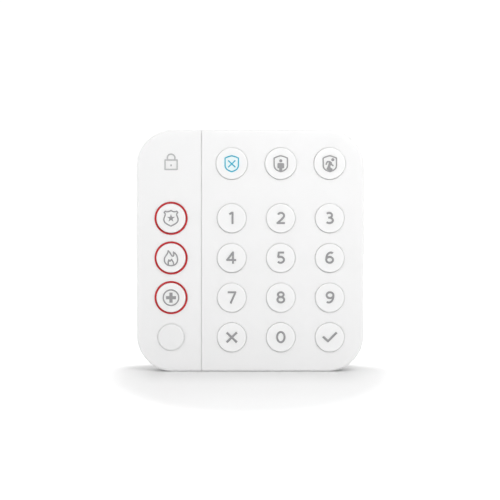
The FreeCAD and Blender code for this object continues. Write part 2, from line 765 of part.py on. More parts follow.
def processor_chip():
    return face_prism(11.0, 20.0, 17.0, 26.0, 0.3, BOARD_BACK_Y, BOARD_BACK_Y + 0.9)


def speaker_outline(inset, x0, x1):
    """The speaker's round-ended outline, pulled in by inset, from x0 to x1."""
    y0, y1 = SPEAKER_Y
    z0, z1 = SPEAKER_Z
    radius = (y1 - y0) / 2 - inset
    return side_prism(y0 + inset, y1 - inset, z0 + inset, z1 - inset, radius, x0, x1)


def speaker_gasket():
    """Foam between the speaker and the left wall."""
    start = -CASE_WIDTH / 2 + WALL
    end = start + GASKET_THICKNESS
    return speaker_outline(0, start, end).cut(speaker_outline(SPEAKER_RIM, start, end))


def speaker_front_x():
    return -CASE_WIDTH / 2 + WALL + GASKET_THICKNESS


def speaker_frame():
    """Plastic basket of the speaker: a rim, a wall and a back with room for the magnet."""
    front = speaker_front_x()
    back = front + SPEAKER_FRAME_DEPTH
    basket = speaker_outline(0, front, back)
    throat = speaker_outline(SPEAKER_RIM, front, back - SPEAKER_FRAME_WALL)
    magnet_room = side_prism(-6.6, -1.0, 51.6, 68.4, 1.0, front, back + 1)
    return basket.cut([throat, magnet_room])


def speaker_cone():
    """Thin diaphragm with a raised roll round its edge."""
    front = speaker_front_x()
    sheet = speaker_outline(SPEAKER_RIM + 0.05, front + 0.6, front + 0.8)
    roll = speaker_outline(SPEAKER_RIM + 0.05, front + 0.3, front + 0.6)
    return sheet.fuse(roll.cut(speaker_outline(SPEAKER_RIM + 0.85, front + 0.3, front + 0.6)))


def speaker_magnet():
    front = speaker_front_x()
    return side_prism(-6.5, -1.1, 51.7, 68.3, 0.9, front + 1.6, front + SPEAKER_FRAME_DEPTH + 0.6)


def speaker_leads():
    """Two short wires from the speaker's back down to the board."""
    start_x = speaker_front_x() + SPEAKER_FRAME_DEPTH
    end_x = -BOARD_HALF_WIDTH + 2.4
    leads = []
    for z in (45.0, 47.5):
        route = [point(start_x, -1.2, z), point(end_x, -1.2, z), point(end_x, BOARD_BACK_Y, z)]
        leads.append(bent_wire(route, 1.0, 0.4))
    return Part.makeCompound(leads)


def battery_cell():
    """Pouch cell with soft edges, and the folded tab that its leads leave from."""
    body = block(-CELL_HALF_WIDTH, CELL_HALF_WIDTH, *CELL_Y, CELL_FOOT_Z, CELL_TOP_Z)
    upright = [edge for edge in body.Edges if edge.BoundBox.ZLength > 1]
    body = body.makeFillet(CELL_EDGE_RADIUS, upright)
    half_tab = CELL_HALF_WIDTH - 2
    tab = block(-half_tab, half_tab, 2.9, 3.9, CELL_TOP_Z - 1, CELL_TOP_Z + CELL_TAB_HEIGHT)
    return body.fuse(tab)


def battery_pad():
    """Foam tape that holds the cell to the housing."""
    return face_prism(-20.0, 20.0, CELL_FOOT_Z + 4, CELL_TOP_Z - 4, 2.0, CELL_Y[1], RECESS_INSIDE_Y)


def battery_leads():
    """Two wires from the cell's tab down into the plug."""
    start_y = 3.4
    start_z = CELL_TOP_Z + CELL_TAB_HEIGHT
    plug_y = sum(PLUG_Y) / 2
    leads = []
    for side in (-0.5, 0.5):
        x = LEAD_X + side * LEAD_SPACING
        route = [
            point(x, start_y, start_z),
            point(x, start_y, start_z + 1.9),
            point(x, plug_y, PLUG_Z[0] - 1.9),
            point(x, plug_y, PLUG_Z[0]),
        ]
        leads.append(bent_wire(route, 2.0, LEAD_RADIUS))
    return Part.makeCompound(leads)


def battery_plug():
    return block(LEAD_X - PLUG_HALF_WIDTH, LEAD_X + PLUG_HALF_WIDTH, *PLUG_Y, *PLUG_Z)


def battery_socket():
    """Board socket, open downwards, that the battery plug slides into."""
    room = 0.2
    half = PLUG_HALF_WIDTH + room + SOCKET_WALL
    foot = PLUG_Z[0] + 1.5
    top = PLUG_Z[1] + room + SOCKET_WALL
    body = block(LEAD_X - half, LEAD_X + half, BOARD_BACK_Y, PLUG_Y[1] + room + SOCKET_WALL, foot, top)
    inner = half - SOCKET_WALL
    cavity = block(
        LEAD_X - inner, LEAD_X + inner, PLUG_Y[0] - room, PLUG_Y[1] + room, foot - 1, PLUG_Z[1] + room
    )
    return body.cut(cavity)


def usb_socket():
    """Metal shell of the charging socket, with its mouth at the right wall."""
    half_y, half_z = (size / 2 for size in PORT_SHELL_SIZE)
    start, mouth = PORT_SHELL_X
    wall = PORT_SHELL_WALL
    front, back = PORT_Y - half_y, PORT_Y + half_y
    foot, top = PORT_Z - half_z, PORT_Z + half_z
    shell = side_prism(front, back, foot, top, 0.8, start, mouth)
    throat_sides = (front + wall, back - wall, foot + wall, top - wall)
    return shell.cut(side_prism(*throat_sides, 0.5, start + 0.8, mouth + 1))


def usb_tongue():
    start, mouth = PORT_SHELL_X
    return block(start + 0.8, mouth - 0.8, PORT_Y - 0.35, PORT_Y + 0.35, PORT_Z - 1.9, PORT_Z + 1.9)


def reset_switch():
    """Side-push switch on the board, with a socket for its button."""
    body = block(51.0, 54.6, BOARD_BACK_Y, BOARD_BACK_Y + 2.0, RESET_Z - 2.2, RESET_Z + 2.2)
    return body.cut(block(53.0, 55.0, RESET_Y - 0.6, RESET_Y + 0.6, RESET_Z - 1.1, RESET_Z + 1.1))


def reset_button():
    stem = block(53.4, 55.6, RESET_Y - 0.5, RESET_Y + 0.5, RESET_Z - 1.0, RESET_Z + 1.0)
    return stem.makeFillet(0.2, [edge for edge in stem.Edges if edge.BoundBox.XMin > 55.5])


def screw(x, z, seat_y, head, shank):
    """Pan-head screw driven in from behind. head and shank are each a radius and a length."""
    head_radius, head_height = head
    shank_radius, shank_length = shank
    top = disc(x, z, head_radius, seat_y, seat_y + head_height)
    top = top.makeFillet(head_height * 0.3, edges_at_depth(top, seat_y + head_height))
    tip = shank_radius * 0.8
    end = seat_y - shank_length
    stem = disc(x, z, shank_radius, end + tip, seat_y)
    point_cone = cone(x, z, shank_radius * 0.3, shank_radius, end, end + tip)
    reach = head_radius * 0.62
    wing = head_radius * 0.12
    drive_y = seat_y + head_height * 0.4
    end_y = seat_y + head_height + 1
    drive = block(x - reach, x + reach, drive_y, end_y, z - wing, z + wing)
    cross = block(x - wing, x + wing, drive_y, end_y, z - reach, z + reach)
    return top.fuse([stem, point_cone]).cut([drive, cross])


def case_screws():
    head = (CASE_HEAD_RADIUS, CASE_HEAD_HEIGHT)
    shank = (CASE_SHANK_RADIUS, CASE_SHANK_LENGTH)
    return Part.makeCompound([screw(x, z, CASE_SCREW_SEAT_Y, head, shank) for x, z in CASE_SCREWS])


def board_screws():
    head = (BOARD_HEAD_RADIUS, BOARD_HEAD_HEIGHT)
    shank = (BOARD_SHANK_RADIUS, BOARD_SHANK_LENGTH)
    return Part.makeCompound([screw(x, z, BOARD_BACK_Y, head, shank) for x, z in BOARD_SCREWS])


def assembly():
    """Every piece of the keypad by name, each in its place."""
    shell = front_shell()
    pieces = {
        "keypad_panel": keypad_panel(shell),
        "side_strip": side_strip(shell),
        "rear_housing": rear_housing(),
        "wall_bracket": wall_bracket(),
        "sensor_lens": sensor_lens(),
        "motion_sensor": motion_sensor(),
        "dome_mat": dome_mat(),
        "main_board": main_board(),
        "key_leds": key_leds(),
        "radio_shield": radio_shield(),
        "processor_chip": processor_chip(),
        "speaker_gasket": speaker_gasket(),
        "speaker_frame": speaker_frame(),
        "speaker_cone": speaker_cone(),
        "speaker_magnet": speaker_magnet(),
        "speaker_leads": speaker_leads(),
        "battery_cell": battery_cell(),
        "battery_pad": battery_pad(),
        "battery_leads": battery_leads(),
        "battery_plug": battery_plug(),
        "battery_socket": battery_socket(),
        "usb_socket": usb_socket(),
        "usb_tongue": usb_tongue(),
        "reset_switch": reset_switch(),
        "reset_button": reset_button(),
        "case_screws": case_screws(),
        "board_screws": board_screws(),
    }
    for name, x, z in number_keys() + alert_keys():
        pieces[name] = key_cap(x, z, CAP_RADIUS)
    for name, x, z in mode_keys():
        pieces[name] = key_cap(x, z, MODE_CAP_RADIUS)
    for name, x, z in alert_keys():
        pieces[name.replace("key", "surround")] = alert_surround(x, z)
    return pieces


os.makedirs("parts", exist_ok=True)
for name, shape in assembly().items():
    shape.exportStep(f"parts/{name}.step")
    print(name, "solids", len(shape.Solids), "volume", round(shape.Volume, 1), "valid", shape.isValid())
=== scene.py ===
# %% [markdown]
# # Alarm keypad panel: how it looks
#
# A white battery keypad stands on a pale floor. Its solid pieces come ready made from the CAD frame, with
# their places. This script gives them their finishes, adds what is printed, woven or plated on them, and
# splits the rubber mat into a sheet and separate domes under the keys. Everything is in metres: X runs to the
# right of someone facing the keys, Y back to the wall, and Z up.

# %% Load the frame
import json
import math

import bpy
from mathutils import Matrix, Vector


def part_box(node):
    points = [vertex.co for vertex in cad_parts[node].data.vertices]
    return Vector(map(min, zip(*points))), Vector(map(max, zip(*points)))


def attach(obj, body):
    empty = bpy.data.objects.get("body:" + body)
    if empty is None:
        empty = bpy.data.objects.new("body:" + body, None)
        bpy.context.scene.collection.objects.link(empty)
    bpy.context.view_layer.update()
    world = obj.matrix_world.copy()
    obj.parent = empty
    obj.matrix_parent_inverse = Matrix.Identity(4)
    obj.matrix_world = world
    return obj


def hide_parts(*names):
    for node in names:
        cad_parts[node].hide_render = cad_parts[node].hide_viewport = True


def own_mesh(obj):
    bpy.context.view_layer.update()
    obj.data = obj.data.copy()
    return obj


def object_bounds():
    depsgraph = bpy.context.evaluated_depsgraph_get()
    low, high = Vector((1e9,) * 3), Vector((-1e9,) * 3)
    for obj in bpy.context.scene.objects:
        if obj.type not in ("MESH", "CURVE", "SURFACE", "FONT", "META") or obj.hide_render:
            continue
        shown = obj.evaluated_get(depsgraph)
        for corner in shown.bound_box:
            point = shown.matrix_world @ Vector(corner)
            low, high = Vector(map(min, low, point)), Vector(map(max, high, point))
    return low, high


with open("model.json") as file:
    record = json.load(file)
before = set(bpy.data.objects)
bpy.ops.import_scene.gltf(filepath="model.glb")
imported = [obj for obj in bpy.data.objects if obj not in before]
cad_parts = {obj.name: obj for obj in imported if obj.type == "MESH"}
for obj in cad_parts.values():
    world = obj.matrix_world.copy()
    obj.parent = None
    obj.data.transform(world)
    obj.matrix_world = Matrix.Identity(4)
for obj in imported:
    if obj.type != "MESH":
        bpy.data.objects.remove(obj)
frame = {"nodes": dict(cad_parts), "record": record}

MM = 0.001
cad_low, cad_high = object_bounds()
nodes = frame["nodes"]
print("nodes:", len(nodes), "size in mm:", [round(side / MM, 1) for side in cad_high - cad_low])

# %% [markdown]
# ## Where things are
#
# No place is typed in twice. The CAD boxes say where the front of each key is and how far it sticks out, and
# everything that is added below is placed from those boxes.

# %% Read the keys' places from the frame
NUMBER_KEYS = [f"key_{name}" for name in [*"123456789", "cancel", "0", "enter"]]
MODE_KEYS = ["key_disarm", "key_home", "key_away"]
ALERT_KEYS = ["key_police", "key_fire", "key_medical"]
ALL_KEYS = NUMBER_KEYS + MODE_KEYS + ALERT_KEYS
LIT_KEY = "key_disarm"


def key_top(node):
    """Middle of a key's front face. The foot of its box is the keyway's, so its top and sides are used."""
    low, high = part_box(node)
    radius = (high.x - low.x) / 2
    return Vector(((low.x + high.x) / 2, low.y, high.z - radius))


KEY_TOPS = {node: key_top(node) for node in ALL_KEYS}
print("key 5 is at", [round(value / MM, 2) for value in KEY_TOPS["key_5"]])

# %% [markdown]
# ## Camera
#
# The camera stands level with the middle of the keypad and looks straight at it, from about an arm's length.
# A long lens keeps the sides parallel. The lens follows from how much of the frame the keypad fills, so
# changing the distance changes the perspective and not the framing.

# %% Set up the camera
CAMERA_DISTANCE = 0.75
CASE_SHARE_OF_FRAME = 0.4536
CAMERA_ASIDE = -0.1 * MM
CAMERA_LIFT = 0.36 * MM
SENSOR = 36.0
EDGE_DEPTH = 2.3 * MM

case_width = cad_high.x - cad_low.x
widest_y = cad_low.y + EDGE_DEPTH
camera_data = bpy.data.cameras.new("camera")
camera_data.sensor_width = SENSOR
camera_data.lens = SENSOR * CASE_SHARE_OF_FRAME * CAMERA_DISTANCE / case_width
camera = bpy.data.objects.new("camera", camera_data)
bpy.context.scene.collection.objects.link(camera)
middle_z = (cad_low.z + cad_high.z) / 2
camera.location = (CAMERA_ASIDE, widest_y - CAMERA_DISTANCE, middle_z + CAMERA_LIFT)
camera.rotation_euler = (math.radians(90), 0, 0)
bpy.context.scene.camera = camera
print("lens:", round(camera_data.lens, 1), "mm")

# %% [markdown]
# ## Light
#
# The product stands in a white studio. Most of its light comes evenly from the white surroundings. A soft
# panel in front, above and to the right adds the direction: it throws the keys' faint shadows down and to the
# left, and leaves the foot of the face a little darker than the top. Large, weak panels overhead and at both
# sides keep the rounded edges of the case bright. The camera and the gloss see whiter surroundings than the
# ones that light the object, because a real white backdrop is lit apart until it burns out.

# %% Make the white surroundings and the soft panels
SURROUND_LIGHT = 0.55
BACKGROUND_WHITE = 1.05
SOFT_PANELS = {
    "key_panel": {"place": (0.12, -0.46, 0.36), "size": 0.22, "watts": 1.25},
    "top_panel": {"place": (0.1, 0.3, 1.1), "size": 1.2, "watts": 1.2},
    "left_panel": {"place": (-0.9, 0.05, 0.15), "size": 0.5, "watts": 1.6},
    "right_panel": {"place": (0.9, 0.05, 0.15), "size": 0.5, "watts": 0.8},
}

scene = bpy.context.scene
scene.view_settings.view_transform = "Standard"
world = bpy.data.worlds.new("white_studio")
scene.world = world
world.use_nodes = True
world_nodes = world.node_tree.nodes
world_links = world.node_tree.links
background = world_nodes["Background"]
background.inputs["Color"].default_value = (1.0, 1.0, 1.0, 1.0)
light_path = world_nodes.new("ShaderNodeLightPath")
strength = world_nodes.new("ShaderNodeMapRange")
strength.inputs["To Min"].default_value = SURROUND_LIGHT
strength.inputs["To Max"].default_value = BACKGROUND_WHITE
seen = world_nodes.new("ShaderNodeMath")
seen.operation = "MAXIMUM"
world_links.new(light_path.outputs["Is Camera Ray"], seen.inputs[0])
world_links.new(light_path.outputs["Is Glossy Ray"], seen.inputs[1])
world_links.new(seen.outputs[0], strength.inputs["Value"])
world_links.new(strength.outputs["Result"], background.inputs["Strength"])


def soft_panel(name, aim, place, size, watts):
    """A square area light that looks from its place to the point it aims at."""
    data = bpy.data.lights.new(name, "AREA")
    data.size = size
    data.energy = watts
    lamp = bpy.data.objects.new(name, data)
    scene.collection.objects.link(lamp)
    lamp.location = place
    lamp.rotation_euler = (aim - Vector(place)).to_track_quat("-Z", "Y").to_euler()


for name, panel in SOFT_PANELS.items():
    soft_panel(name, (cad_low + cad_high) / 2, **panel)
print("lights:", list(SOFT_PANELS))

# %% [markdown]
# ## Shader maths in Python
#
# A material is a graph of nodes. Writing a graph call by call hides the sum it stands for, so one small class
# wraps an output socket: arithmetic on it adds Math nodes, and `node()` adds anything else. It takes the
# node's settings, which are set first, and then the values or links of its sockets. The same class builds the
# Geometry Nodes trees further down.


# %% The socket wrapper
class Wire:
    """One output of a node tree. Sums and products of wires add Math nodes."""

    def __init__(self, tree, socket=None):
        self.tree = tree
        self.socket = socket

    def node(self, kind, settings=None, inputs=None, output=0):
        """Add a node and return one of its outputs. The setting "stops" is a colour ramp's."""
        made = self.tree.nodes.new(kind)
        for name, value in (settings or {}).items():
            if name == "stops":
                self.set_stops(made.color_ramp, value)
            else:
                setattr(made, name, value)
        for key, value in (inputs or {}).items():
            if isinstance(value, Wire):
                self.tree.links.new(value.socket, made.inputs[key])
            else:
                made.inputs[key].default_value = value
        return Wire(self.tree, made.outputs[output])

    @staticmethod
    def set_stops(ramp, stops):
        """Give a colour ramp its stops, each of which is a position and a grey."""
        while len(ramp.elements) < len(stops):
            ramp.elements.new(0.5)
        for element, (position, grey) in zip(ramp.elements, stops):
            element.position = position
            element.color = (grey, grey, grey, 1.0)

    def parts(self):
        """The X, Y and Z of a vector."""
        split = self.node("ShaderNodeSeparateXYZ", inputs={0: self}).socket.node
        return [Wire(self.tree, socket) for socket in split.outputs]

    def join(self, *others):
        """This geometry joined with others."""
        joined = self.node("GeometryNodeJoinGeometry", inputs={0: self})
        for other in others:
            self.tree.links.new(other.socket, joined.socket.node.inputs[0])
        return joined

    def maths(self, operation, *values):
        return self.node("ShaderNodeMath", {"operation": operation}, dict(enumerate(values)))

    def __add__(self, other):
        return self.maths("ADD", self, other)

    def __sub__(self, other):
        return self.maths("SUBTRACT", self, other)

    def __rsub__(self, other):
        return self.maths("SUBTRACT", other, self)

    def __mul__(self, other):
        return self.maths("MULTIPLY", self, other)

    def __truediv__(self, other):
        return self.maths("DIVIDE", self, other)

    def __rtruediv__(self, other):
        return self.maths("DIVIDE", other, self)

    def __gt__(self, other):
        return self.maths("GREATER_THAN", self, other)

    def __lt__(self, other):
        return self.maths("LESS_THAN", self, other)

    __radd__ = __add__
    __rmul__ = __mul__

    def mix(self, low, high):
        """Blend of two colours, with this wire as the factor."""
        settings = {"data_type": "RGBA"}
        return self.node("ShaderNodeMix", settings, {0: self, 6: low, 7: high}, output=2)

    def noise(self, scale, detail=2.0):
        """Noise at this place, with this many waves in a metre."""
        values = {"Vector": self, "Scale": scale, "Detail": detail}
        return self.node("ShaderNodeTexNoise", inputs=values)

    def cells(self, scale, settings=None):
        """Distance to the nearest Voronoi cell's middle, or what the settings say."""
        return self.node("ShaderNodeTexVoronoi", settings, {"Vector": self, "Scale": scale})

    def bump(self, depth, strength=1.0):
        """The normal of a surface with this wire as its height."""
        sizes = {"Strength": strength, "Distance": depth, "Height": self}
        return self.node("ShaderNodeBump", inputs=sizes)


print("a wire has:", ", ".join(name for name in vars(Wire) if not name.startswith("_")))

# %% [markdown]
# ## A new finish
#
# Every finish starts as one shader and a wire with the place on the object. Values that are the same all over
# a piece are set on the shader, and the ones that vary are fed to it as wires.


# %% Helpers for finishes
def colour(red, green, blue):
    return (red, green, blue, 1.0)


def grey_colour(tone):
    return colour(tone, tone, tone)


def shade(tone, factor, lift=0.0):
    """A tone made darker or paler, as a colour."""
    return colour(*(min(channel * factor + lift, 1.0) for channel in tone))


def new_finish(name, uniform=None):
    """A material with one shader. uniform holds the values that are the same all over it."""
    material = bpy.data.materials.new(name)
    material.use_nodes = True
    shader = material.node_tree.nodes["Principled BSDF"]
    for socket, value in (uniform or {}).items():
        shader.inputs[socket].default_value = value
    start = Wire(material.node_tree)
    place = start.node("ShaderNodeTexCoord", output=3)
    return material, shader, place


def feed(material, shader, **links):
    """Link wires to the shader's sockets, which are named with underscores for spaces."""
    for name, wire in links.items():
        material.node_tree.links.new(wire.socket, shader.inputs[name.replace("_", " ").title()])
    return material


print("pale grey:", shade((0.5, 0.5, 0.5), 1.5))

# %% [markdown]
# ## Moulded plastic
#
# Almost all of the keypad is injection-moulded plastic. Its mould was etched, which leaves a grain of about a
# quarter of a millimetre, and the melt cooled unevenly, which leaves broad, barely visible changes of gloss.
# Hands then polish the grain on what stands proud. The grain could be a picture, but noise has no seams and
# no edge.


# %% Write the recipe for moulded plastic
# Painted light: tint and size of the lamp glow painted into the lit key's colour.
PAINTED_LAMP_TINT = (0.83, 0.96, 0.98)
PAINTED_LAMP_SPOT = (3.2 * MM, 5.2 * MM)
GLOW_DEPTH = 1.5 * MM
MOTTLE = 0.012
BROAD_SCALE = 28.0
FINE_SCALE = 420.0


def painted_lamp_glow(place, lamp):
    """Mask of the painted lamp glow: 1 in front of a lamp, falling to 0 around it."""
    x, _, z = place.parts()
    across = x - lamp.x
    up = z - lamp.z
    distance = x.maths("SQRT", across * across + up * up)
    start, end = PAINTED_LAMP_SPOT
    return 1 - place.node("ShaderNodeMapRange", inputs={0: distance, 1: start, 2: end})


def moulded(name, tone, roughness, grain=0.25 * MM, depth=0.006 * MM, glow=0.0, lamp=None):
    """Etched moulded plastic of one tone. grain is the size of its texture and depth its height.

    glow is how much light spreads under its surface. lamp is the place of a lit lamp behind it, whose light
    is painted into the plastic's colour around that place as a painted glow.
    """
    uniform = {
        "Specular IOR Level": 0.5,
        "Subsurface Weight": glow,
        "Subsurface Scale": GLOW_DEPTH,
        "Subsurface Radius": (1.0, 1.0, 1.0),
    }
    material, shader, place = new_finish(name, uniform)
    etched = place.noise(1 / grain, detail=3.0)
    pits = place.cells(0.8 / grain)
    broad = place.noise(BROAD_SCALE)
    fine = place.noise(FINE_SCALE)
    bump = (etched * 0.7 + pits * 0.3).bump(depth)
    tint = (broad * 0.6 + fine * 0.4).mix(shade(tone, 1 - MOTTLE), shade(tone, 1 + MOTTLE))
    # Painted light: in front of the lamp the colour turns to a painted blue-white glow.
    if lamp:
        tint = painted_lamp_glow(place, lamp).mix(tint, colour(*PAINTED_LAMP_TINT))
    gloss = (broad - 0.5) * 0.1 + (etched - 0.5) * 0.08 + roughness
    return feed(material, shader, base_color=tint, roughness=gloss, normal=bump)


print("plastic's broad noise:", BROAD_SCALE, "fine noise:", FINE_SCALE)

# %% [markdown]
# ## The plastics
#
# All of the plastic pieces share the recipe, and differ in tone, gloss and how deep the grain is. The white
# ones let some light in, so their edges look soft. The cap of the lit key has its lamp's glow painted into
# its colour.

# %% Make the plastics
FACE_WHITE = (0.885, 0.885, 0.885)
KEY_WHITE = (0.9, 0.9, 0.9)
POLISHED = {"roughness": 0.36, "depth": 0.003 * MM, "glow": 0.6}

case_white = moulded("case_white", FACE_WHITE, 0.42, glow=0.6)
housing_white = moulded("housing_white", (0.84, 0.84, 0.84), 0.5, grain=0.4 * MM, depth=0.012 * MM)
bracket_white = moulded("bracket_white", (0.80, 0.80, 0.80), 0.55, grain=0.5 * MM, depth=0.02 * MM)
key_white = moulded("key_white", KEY_WHITE, **POLISHED)
# Key plastic with a painted glow of the lamp behind it.
lit_key_white = moulded("lit_key_white", KEY_WHITE, lamp=KEY_TOPS[LIT_KEY], **POLISHED)
window_white = moulded("window_white", FACE_WHITE, **POLISHED)
soft_black = moulded("soft_black", (0.02, 0.02, 0.021), 0.45, depth=0.01 * MM)
button_grey = moulded("button_grey", (0.55, 0.56, 0.58), 0.4)
plug_cream = moulded("plug_cream", (0.78, 0.74, 0.62), 0.4)
chip_black = moulded("chip_black", (0.03, 0.03, 0.032), 0.6, grain=0.15 * MM)
alert_red = moulded("alert_red", (0.62, 0.02, 0.028), 0.3, depth=0.002 * MM, glow=0.15)
print("plastics:", case_white.name, key_white.name, alert_red.name, soft_black.name)

# %% [markdown]
# ## Inks of the legends
#
# The legends are windows in the keys' paint. The lamp behind the disarm key is on, so its legend is lit blue,
# and the others show the grey film behind them. The lit one gives off a little light of its own.


# %% Make the legend inks
def legend_ink(name, tone, light=0.0):
    """Printed film, a little uneven. light is how strongly the lamp behind it shows."""
    material, shader, place = new_finish(name, {"Emission Strength": light, "Specular IOR Level": 0.3})
    speckle = place.noise(6000.0)
    tint = speckle.mix(shade(tone, 0.95), shade(tone, 1.06, lift=0.004))
    gloss = speckle * 0.12 + 0.4
    bump = speckle.bump(0.004 * MM, strength=0.4)
    return feed(material, shader, base_color=tint, emission_color=tint, roughness=gloss, normal=bump)


grey_ink = legend_ink("grey_ink", (0.31, 0.31, 0.315))
blue_ink = legend_ink("blue_ink", (0.017, 0.31, 0.43), light=0.38)
badge_ink = legend_ink("badge_ink", (0.50, 0.50, 0.505))
print("inks:", grey_ink.name, blue_ink.name, badge_ink.name)

# %% [markdown]
# ## Metals
#
# The metal pieces are small stampings and screws. Rolling leaves faint streaks along the sheet and handling
# leaves blotches of oxide, so the gloss follows stretched noise and the tone follows broad noise. A turned
# metal has the same recipe with the streaks packed closer.


# %% Make the metals
def metal(name, tone, roughness, streak=(1.0, 1.0, 12.0), depth=0.003 * MM):
    """Bare or plated metal. streak is how much closer the marks lie along each axis."""
    material, shader, place = new_finish(name, {"Metallic": 1.0})
    drawn = place.node("ShaderNodeMapping", inputs={"Vector": place, "Scale": streak})
    marks = drawn.noise(900.0, detail=4.0)
    oxide = place.noise(180.0, detail=3.0)
    tint = oxide.mix(shade(tone, 0.82), colour(*tone))
    gloss = (marks - 0.5) * 0.25 + (oxide - 0.5) * 0.2 + roughness
    return feed(material, shader, base_color=tint, roughness=gloss, normal=marks.bump(depth))


tinned_steel = metal("tinned_steel", (0.72, 0.72, 0.70), 0.32)
socket_steel = metal("socket_steel", (0.66, 0.66, 0.67), 0.28, streak=(12.0, 1.0, 1.0))
screw_steel = metal("screw_steel", (0.42, 0.43, 0.45), 0.3, streak=(2.0, 12.0, 2.0))
sensor_metal = metal("sensor_metal", (0.70, 0.69, 0.66), 0.3)
plated_magnet = metal("plated_magnet", (0.63, 0.61, 0.57), 0.22, streak=(1.0, 1.0, 2.0))
contact_gold = metal("contact_gold", (0.83, 0.60, 0.27), 0.25, streak=(1.0, 4.0, 1.0))
cell_foil = metal("cell_foil", (0.74, 0.75, 0.76), 0.3, streak=(1.0, 1.0, 1.6), depth=0.02 * MM)
print("metals:", tinned_steel.name, socket_steel.name, screw_steel.name, cell_foil.name)

# %% [markdown]
# ## Rubber, foam, film and resin
#
# The soft inner pieces differ in what shows close up. Silicone is waxy and dusty, foam is full of open cells,
# the speaker's film is smooth with a slight ripple, and the leads' sleeves are scuffed. Foam cells are a
# Voronoi pattern: its distance value is low in the middle of each cell, so it makes the pits, and the same
# value darkens them as painted shade in the pits.


# %% Make the soft materials and the resins
FOAM_CELL = 0.35 * MM
FOAM_PIT = 0.1 * MM


def foam(name, tone):
    """Open-celled foam with a pit for each cell, darkened by painted shade."""
    material, shader, place = new_finish(name, {"Roughness": 0.95, "Specular IOR Level": 0.1})
    pits = place.cells(1 / FOAM_CELL)
    # Painted shade: the middle of each pit is darkened to half the foam's tone.
    tint = pits.mix(shade(tone, 0.5), colour(*tone))
    return feed(material, shader, base_color=tint, normal=pits.bump(FOAM_PIT))


def sleeved(name, pairs):
    """Sleeves of the paired leads. In each pair's node the red one is the lower along the pair's axis."""
    material, shader, place = new_finish(name, {"Specular IOR Level": 0.4})
    axes = place.parts()
    red_side = 0.0
    for node, axis in pairs:
        low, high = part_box(node)
        here = (axes[0] > low.x - MM) * (axes[0] < high.x + MM)
        red_side = here * (axes[axis] < (low[axis] + high[axis]) / 2) + red_side
    scuffs = place.noise(2500.0, detail=3.0)
    red = scuffs.mix(colour(0.42, 0.012, 0.01), colour(0.55, 0.02, 0.016))
    black = scuffs.mix(colour(0.012, 0.012, 0.013), colour(0.03, 0.03, 0.032))
    tint = red_side.mix(black, red)
    gloss = scuffs * 0.15 + 0.35
    return feed(material, shader, base_color=tint, roughness=gloss, normal=scuffs.bump(0.01 * MM))


dome_silicone = moulded("dome_silicone", (0.52, 0.54, 0.57), 0.62, grain=0.6 * MM, glow=0.25)
cone_film = moulded("cone_film", (0.05, 0.052, 0.056), 0.28, grain=1.2 * MM, depth=0.02 * MM)
lamp_resin = moulded("lamp_resin", (0.86, 0.82, 0.55), 0.2, grain=0.2 * MM, glow=0.3)
gasket_foam = foam("gasket_foam", (0.055, 0.055, 0.06))
lead_sleeve = sleeved("lead_sleeve", [("battery_leads", 0), ("speaker_leads", 2)])
print("soft materials:", dome_silicone.name, gasket_foam.name, lead_sleeve.name)

# %% [markdown]
# ## Circuit board
#
# The board is green solder mask over copper. Its tracks lie under the mask, so they only lift and lighten it
# a little. Tracks run straight and turn at forty-five degrees. Voronoi cells measured by the Chebychev
# distance have edges of that kind, so a thin band along those edges stands for a track.


# %% Make the board's laminate
def laminate(name):
    """Solder mask with tracks under it."""
    material, shader, place = new_finish(name, {"Specular IOR Level": 0.5})
    edge = place.cells(230.0, {"feature": "DISTANCE_TO_EDGE", "distance": "CHEBYCHEV"})
    stops = [(0.06, 0.0), (0.10, 1.0)]
    track = 1 - place.node("ShaderNodeValToRGB", {"stops": stops}, {"Fac": edge})
    weave = place.noise(1500.0)
    mask = weave.mix(colour(0.006, 0.085, 0.035), colour(0.010, 0.115, 0.048))
    bump = (track + weave * 0.1).bump(0.03 * MM)
    tint = track.mix(mask, colour(0.02, 0.19, 0.08))
    return feed(material, shader, base_color=tint, roughness=weave * 0.1 + 0.25, normal=bump)


board_laminate = laminate("board_laminate")
print("board:", board_laminate.name)

# %% [markdown]
# ## Finishes on the solid pieces
#
# Each solid piece comes with the plain material of its slot. The slot's name says what it is made of, so one
# table turns every plain material into its finish.

# %% Put the finishes on the solid pieces
FINISHES = {
    "case_plastic": case_white,
    "housing_plastic": housing_white,
    "bracket_plastic": bracket_white,
    "key_plastic": key_white,
    "red_plastic": alert_red,
    "lens_plastic": window_white,
    "black_plastic": soft_black,
    "button_plastic": button_grey,
    "connector_plastic": plug_cream,
    "chip_resin": chip_black,
    "sensor_metal": sensor_metal,
    "dome_silicone": dome_silicone,
    "board_laminate": board_laminate,
    "lamp_resin": lamp_resin,
    "tinned_steel": tinned_steel,
    "gasket_foam": gasket_foam,
    "cone_film": cone_film,
    "plated_magnet": plated_magnet,
    "lead_sleeve": lead_sleeve,
    "cell_foil": cell_foil,
    "socket_steel": socket_steel,
    "screw_steel": screw_steel,
}
for piece in nodes.values():
    plain = piece.material_slots[0].material.name
    piece.material_slots[0].material = FINISHES[plain]
nodes[LIT_KEY].material_slots[0].material = lit_key_white
print("finished:", len(nodes), "solid pieces with", len(FINISHES), "finishes")

# %% [markdown]
# ## Drawing a legend
#
# A legend is a shape cut out of the key's paint, like a stencil: pen strokes of one width, with some solid
# patches. It could be a picture laid on the key, but a picture blurs close up. So each legend is drawn as
# lines, and a Geometry Nodes tree turns the lines into a thin film. A drawing is a list of strokes, and each
# stroke is a path of points in millimetres about the middle of its key, X to the right and Y up.


# %% Helpers that draw paths
SAME_POINT = 0.001
ARC_STEP = 9
BEND_STEPS = 12


